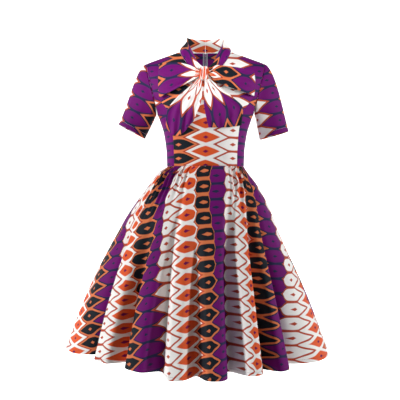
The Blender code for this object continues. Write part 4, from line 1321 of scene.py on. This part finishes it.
# How the print is drawn in or out at the edges between its columns. A step hides cloth in a tuck
# there, and a stretch above 0 squeezes the edge's zigzag or below 0 widens it:
# (edge between columns, stretch in the upper half and at the hem, step in the same two places)
TUCKS = np.array([
    (1.5, 0.20, -0.20, 0.00, 0.00),
    (2.5, 0.10, -0.30, 0.00, 0.00),
    (3.5, 0.00, 0.00, 0.30, 0.40),
    (4.5, 0.00, -0.35, 0.00, 0.00),
    (5.5, 0.00, 0.00, 0.30, 0.40),
    (6.5, 0.20, -0.20, 0.10, 0.00),
    (7.5, 0.10, -0.10, 0.45, 0.20),
    (8.5, -0.20, -0.20, 0.00, 0.00),
    (9.5, 0.00, 0.10, 0.55, 0.15),
    (10.5, 0.00, -0.50, 0.80, 0.00),
    (11.5, 0.00, 0.00, 0.55, 0.50),
    (12.5, -0.40, -0.65, 0.00, 0.00),
    (13.5, 0.00, 0.00, 0.40, 0.50),
    (14.5, 0.00, -0.50, 0.00, 0.00),
    (15.5, 0.00, 0.00, 0.30, 0.40),
    (16.5, 0.00, -0.35, 0.00, 0.00),
    (17.5, 0.10, -0.20, 0.00, 0.00),
])
STEP_POWER = 8
TUCK_FADES = (0.35, 0.70)

# How far the gathers shift the print, in columns, and the share of the drop over which that fades
RUFFLE = 0.24
RUFFLE_FADE = 0.13

# The row at a share of the drop is worked out from these: at the waist, times the share, and times
# its square
PRINT_ROWS = (-2.0, 11.9, 1.55)

# How far the rows of each column lie down the cloth from those of column 8: (column, rows)
ROW_SHIFTS = np.array([
    (-2.0, -3.7),
    (0.0, -3.2),
    (2.0, -2.5),
    (3.0, -2.1),
    (4.0, -1.75),
    (5.0, -1.45),
    (6.0, -1.08),
    (7.0, -0.42),
    (8.0, 0.0),
    (9.0, 0.36),
    (10.0, 0.68),
    (11.0, 0.86),
    (12.0, 0.96),
    (14.0, 0.70),
    (16.0, 0.35),
    (18.0, 0.30),
    (21.0, 0.30),
])


def hem_curve():
    """The folds along the hem: angles and drops inwards, with the share of the drop each starts at."""
    crest, edge, valley, fold_depth, start = FOLDS.T
    none = np.zeros_like(crest)
    angles = np.concatenate([crest, edge, valley])
    drops = np.concatenate([none, none + EDGE_DROP, fold_depth])
    rows = np.column_stack([angles, drops, np.tile(start, 3)])
    rows = rows[np.argsort(angles, kind="stable")]
    return np.concatenate([rows[-3:] - (360, 0, 0), rows, rows[:3] + (360, 0, 0)])


def beside_flat(waist):
    """0 in the flat centre of the front and 1 on both sides of it, by angle at the waist."""
    return ease((np.abs(np.degrees(waist) - FLAT_CENTRE) - FLAT_FRONT) / FLAT_FADE)


def gather_phase(waist):
    """Where each gather is in its wave, by angle at the waist. Their widths drift."""
    return GATHERS * waist + GATHER_DRIFT * np.sin(5 * waist)


def skirt_points(angle, down):
    """Points of the skirt by angle at the hem, in degrees, and share of the drop from the waist."""
    ring = hem_curve()
    angle = np.asarray(angle, float)[:, None]
    down = np.asarray(down, float)[None, :]
    height = -SKIRT_DROP * down
    half = through(SKIRT, 1, height)
    grown = (half - SKIRT[0, 1]) / (SKIRT[-1, 1] - SKIRT[0, 1])
    waist = np.radians(through(SPREAD, 1, angle))
    hem = np.radians(angle)
    sine = (1 - grown) * SKIRT[0, 1] * np.sin(waist) + grown * SKIRT[-1, 1] * np.sin(hem)
    cosine = (1 - grown) * SKIRT[0, 1] * np.cos(waist) + grown * SKIRT[-1, 1] * np.cos(hem)
    size = np.hypot(sine, cosine)
    sine, cosine = sine / size, cosine / size
    start = through(ring, 2, angle)
    fold = through(ring, 1, angle)
    for valley, deep, half_width in CREASES:
        fold = fold + deep * bell(angle - valley, half_width)
    fold = fold * ease((down - start) / (FOLD_END - start)) ** FOLD_POWER
    from_front = np.abs(np.degrees(waist))
    gathered = beside_flat(waist) * ease((180 - FLAT_BACK - from_front) / FLAT_FADE)
    gathered = gathered * (1 - SIDE_CALM * bell(from_front - SIDE_SEAM, SIDE_HALF))
    uneven = 1 + 0.35 * np.cos(7 * waist + 0.6) + 0.25 * np.cos(11 * waist + 2.1)
    gather = GATHER_DEPTH * uneven * (1 - np.cos(gather_phase(waist))) / 2
    fine = FINE_DEPTH * np.cos(FINE_GATHERS * waist + 1.0)
    gather = gather + fine * bell(down, FINE_FADE)
    gather = gather * gathered * bell(down - GATHER_PEAK, GATHER_FADE)
    gather = gather * ease(down / GATHER_PEAK + 0.35)
    flat = WAIST_FLAT + (HEM_FLAT - WAIST_FLAT) * down
    power = 2 / (SQUARENESS + (2 - SQUARENESS) * ease(down / ROUND_FROM))
    drop = fold + gather
    x = (half - drop) * np.sign(sine) * np.abs(sine) ** power + through(SKIRT, 2, height)
    y = -(half - flat - drop) * np.sign(cosine) * np.abs(cosine) ** power
    height = height - SEAM_GAP * (down == 0) - through(HEM_DROP, 1, angle) * down**2
    return to_world(x, y, height)


def skirt_angles(start, end, columns):
    """Angles of a panel's lines, closer together where more cloth is gathered in."""
    dense = np.linspace(start, end, 900)
    waist = np.radians(through(SPREAD, 1, dense)) * SKIRT[0, 1] * 2.2
    edge = skirt_points(dense, [1.0])[:, 0]
    weight = lengths(edge, 0) + (waist - waist[0])
    return np.interp(np.linspace(0, weight[-1], columns), weight, dense)


def print_row(down):
    """The row of the print at a share of the drop."""
    return PRINT_ROWS[0] + PRINT_ROWS[1] * down + PRINT_ROWS[2] * down**2


def front_columns(angle, down):
    """The print's column at each point of the front, between the lines of the table."""
    level = np.clip(down, COLUMN_LEVELS[0], 1)
    placed = np.stack([np.interp(level, COLUMN_LEVELS, row[1:]) for row in COLUMNS])
    found = np.empty((len(angle), len(down)))
    for k in range(len(down)):
        found[:, k] = through(np.column_stack([placed[:, k], COLUMNS[:, 0]]), 1, angle)
    centre = np.floor(found + 0.5)
    share = found - centre
    edge = centre + np.where(share > 0, 0.5, -0.5)
    fade = ease((down - TUCK_FADES[0]) / (TUCK_FADES[1] - TUCK_FADES[0]))
    shares = [np.interp(edge, TUCKS[:, 0], TUCKS[:, k]) for k in range(1, 5)]
    stretch = shares[0] + (shares[1] - shares[0]) * fade
    step = shares[2] + (shares[3] - shares[2]) * fade
    stepped = 0.5 * np.sign(share) * np.abs(2 * share) ** STEP_POWER
    share = share + step * (stepped - share)
    return centre + share - stretch * np.sin(2 * math.pi * share) / (2 * math.pi)


skirt_down = np.concatenate([np.linspace(0, 0.16, 34)[:-1], np.linspace(0.16, 1, 76)])
front_angles = skirt_angles(-SIDE_SEAM, SIDE_SEAM, 400)
points = skirt_points(front_angles, skirt_down)
column = front_columns(front_angles, skirt_down)
at_waist = np.radians(through(SPREAD, 1, front_angles))[:, None]
ruffled = beside_flat(at_waist) * bell(skirt_down[None, :], RUFFLE_FADE)
column = column + RUFFLE * ruffled * np.sin(gather_phase(at_waist))
shifted = np.interp(column, ROW_SHIFTS[:, 0], ROW_SHIFTS[:, 1])
shifted = shifted + 0.6 * RUFFLE * ruffled * np.cos(0.5 * GATHERS * at_waist)
print_at = print_map(column, print_row(skirt_down)[None, :] + shifted)
skirt = cloth("skirt_front", points, moved_in(points, CLOTH, flip=True), print_at, PRINTED, flip=True)
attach(skirt, "dress")
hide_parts("skirt_front")

HEM_STITCHES = 0.010
DARK_THREAD, _, _ = new_material("dark_thread", {
    "Base Color": (*colour(96, 52, 86), 1), "Roughness": 0.5, "Specular IOR Level": 0.4,
})
sewn = stitch_line("skirt_front_stitches", points, to_last(points), HEM_STITCHES, False, True, DARK_THREAD)


# Skirt backs. Two flared panels like half of the front each, sewn together at the centre back below
# the zip and to the front at the side seams. Their folds are like the front's.

# Each panel is cut as part of a ring: its radius at the waist, and the angle it takes up, in radians
WAIST_RADIUS = 0.229
FLARE = 0.83
for name, side in (("skirt_back_right", -1), ("skirt_back_left", 1)):
    if side > 0:
        angles = skirt_angles(SIDE_SEAM + SEAM_ANGLE, 180 - SEAM_ANGLE, 190)[::-1]
    else:
        angles = skirt_angles(SEAM_ANGLE - 180, -SIDE_SEAM - SEAM_ANGLE, 190)
    points = skirt_points(angles, skirt_down)
    hem_length = lengths(points[:, -1:], 0)[:, 0]
    fan = FLARE * hem_length[:, None] / hem_length[-1]
    radius = WAIST_RADIUS + lengths(points, 1)
    print_at = print_map(side * radius * np.sin(fan) / CLOTH_COLUMN + 1, radius * np.cos(fan) / CLOTH_ROW)
    panel = cloth(name, points, moved_in(points, CLOTH, flip=side < 0), print_at, PRINTED, flip=side < 0)
    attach(panel, "dress")
    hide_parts(name)
    stitches = f"{name}_stitches"
    sewn = stitch_line(stitches, points, to_last(points), HEM_STITCHES, False, side < 0, DARK_THREAD)


# Zip. A nylon coil zip sewn to the edges of the backs from the neck seam to below the waist. The
# tapes are woven polyester and lie inside, and the closed coil shows as a fine ribbed line.
TAPE_WIDTH = 0.0118
TAPE = 0.0010
TAPE_GAP = 0.0006
TOOTH_PITCH = 0.0021
TOOTH_SHIFT = 0.0009
TOOTH_HALF = np.array([0.0017, 0.00065, 0.0005])
TOOTH_SINK = 0.0007
COIL_END = 0.004

# The shares of the skirt's drop between which the tapes go on below the waist, and how far round
# the hem the strip of skirt reaches that their shape is read from
ZIP_START = 0.02
ZIP_END = 0.21
TAPE_STRIP = 150
TAPE_GREY = colour(226, 232, 240)
# The dark line's grey, which also serves as painted shade in the low grooves between the tape's cords
STITCH_AND_GROOVE_SHADE_GREY = colour(128, 136, 150)
NICKEL = colour(196, 192, 184)


def tape_cloth():
    """Woven tape: fine cords with painted shade between them, and a raised cord and a dark line beside the
    coil.
    """
    finish, tree, shader = new_material("zip_tape_cloth", {"Specular IOR Level": 0.3})
    uv = Wire(new_node(tree, "ShaderNodeUVMap", {"uv_map": "print"}, {}).outputs[0])
    parts = new_node(tree, "ShaderNodeSeparateXYZ", {}, {0: uv})
    across, down = Wire(parts.outputs[0]), Wire(parts.outputs[1])
    cords = abs((down * 1400).fraction() - 0.5)
    lines = abs((across * 3.0).fraction() - 0.5).over(0.34)
    # Painted shade: the tape turns to the dark grey in the grooves between the cords, where the relief is
    # lowest
    shade = cords.mixed(STITCH_AND_GROOVE_SHADE_GREY, TAPE_GREY)
    shade = (lines * 0.55).mixed(shade, STITCH_AND_GROOVE_SHADE_GREY)
    tree.links.new(shade.socket, shader.inputs["Base Color"])
    tree.links.new((0.62 + cords * 0.3).socket, shader.inputs["Roughness"])
    raised(tree, shader, cords * 0.00012 + lines * 0.0003, 0.7)
    return finish


def worn_nickel():
    """Bright nickel plate with cloudy roughness and faint scratches."""
    finish, tree, shader = new_material("nickel_plate", {"Metallic": 1.0})
    place = Wire(new_node(tree, "ShaderNodeTexCoord", {}, {}).outputs["Object"])
    cloudy = place.noise(260.0, 3.0)
    fine = place.noise(2600.0, 2.0)
    tree.links.new(cloudy.mixed(colour(176, 172, 164), NICKEL).socket, shader.inputs["Base Color"])
    tree.links.new((0.20 + cloudy * 0.14 + fine * 0.08).socket, shader.inputs["Roughness"])
    raised(tree, shader, fine * 0.00002, 0.3)
    return finish


def beside_centre_back(inside, reach):
    """Points of each row of an inner wall at given distances from the centre back."""
    rows = [read_line(row, lengths(row, 0), reach) for row in np.swapaxes(inside, 0, 1)]
    return np.swapaxes(np.array(rows), 0, 1)


TAPE_CLOTH = tape_cloth()
METAL = worn_nickel()
near = slice(0, 12)
tape_down = np.linspace(ZIP_START, ZIP_END, 30)
for name, side in (("zip_tape_right", -1), ("zip_tape_left", 1)):
    body = torso_inside(back_angle[near], back_height[near], 3, side, CLOTH + TAPE_GAP)
    strip = side * np.linspace(180 - SEAM_ANGLE, TAPE_STRIP, 30)
    behind = skirt_points(strip, tape_down)
    behind = moved_in(behind, CLOTH + TAPE_GAP, flip=side < 0)[:, ::-1]
    reach = TAPE_WIDTH * np.linspace(0, 1, 9)
    below, above = beside_centre_back(behind, reach), beside_centre_back(body[:, 1:-1], reach)
    outer = np.concatenate([below, above], axis=1)
    inner = moved_in(outer, TAPE, flip=side < 0)
    print_at = print_map((reach / TAPE_WIDTH)[:, None], lengths(outer, 1))
    tape = cloth(name, outer, inner, print_at, TAPE_CLOTH, flip=side > 0)
    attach(tape, "dress")
    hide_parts(name)

# The coil, as one small rounded tooth after another, from alternate sides of the centre line
coil_path = inner[0][np.argsort(inner[0][:, 2])]
coil_length = lengths(coil_path, 0)
tooth_at = np.arange(COIL_END, coil_length[-1] - COIL_END, TOOTH_PITCH / 2)
tooth_centre = read_line(coil_path, coil_length, tooth_at)
tooth_centre[:, 0] += TOOTH_SHIFT * np.where(np.arange(len(tooth_at)) % 2, 1, -1) - SEAM_GAP
tooth_centre[:, 1] -= TOOTH_SINK
coil_material, _, _ = new_material("zip_coil_nylon", {
    "Base Color": (*colour(206, 208, 214), 1), "Roughness": 0.35, "Specular IOR Level": 0.5,
})
teeth = len(tooth_centre)
sideways = np.tile((1.0, 0.0, 0.0), (teeth, 1))
behind_it = np.tile((0.0, 1.0, 0.0), (teeth, 1))
coil = beads("zip_coil", tooth_centre, sideways, behind_it, TOOTH_HALF, coil_material)

# The slider and its pull tab are the solids themselves, in nickel
for node in ("zip_slider", "zip_pull_tab"):
    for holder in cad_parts[node].material_slots:
        holder.material = METAL
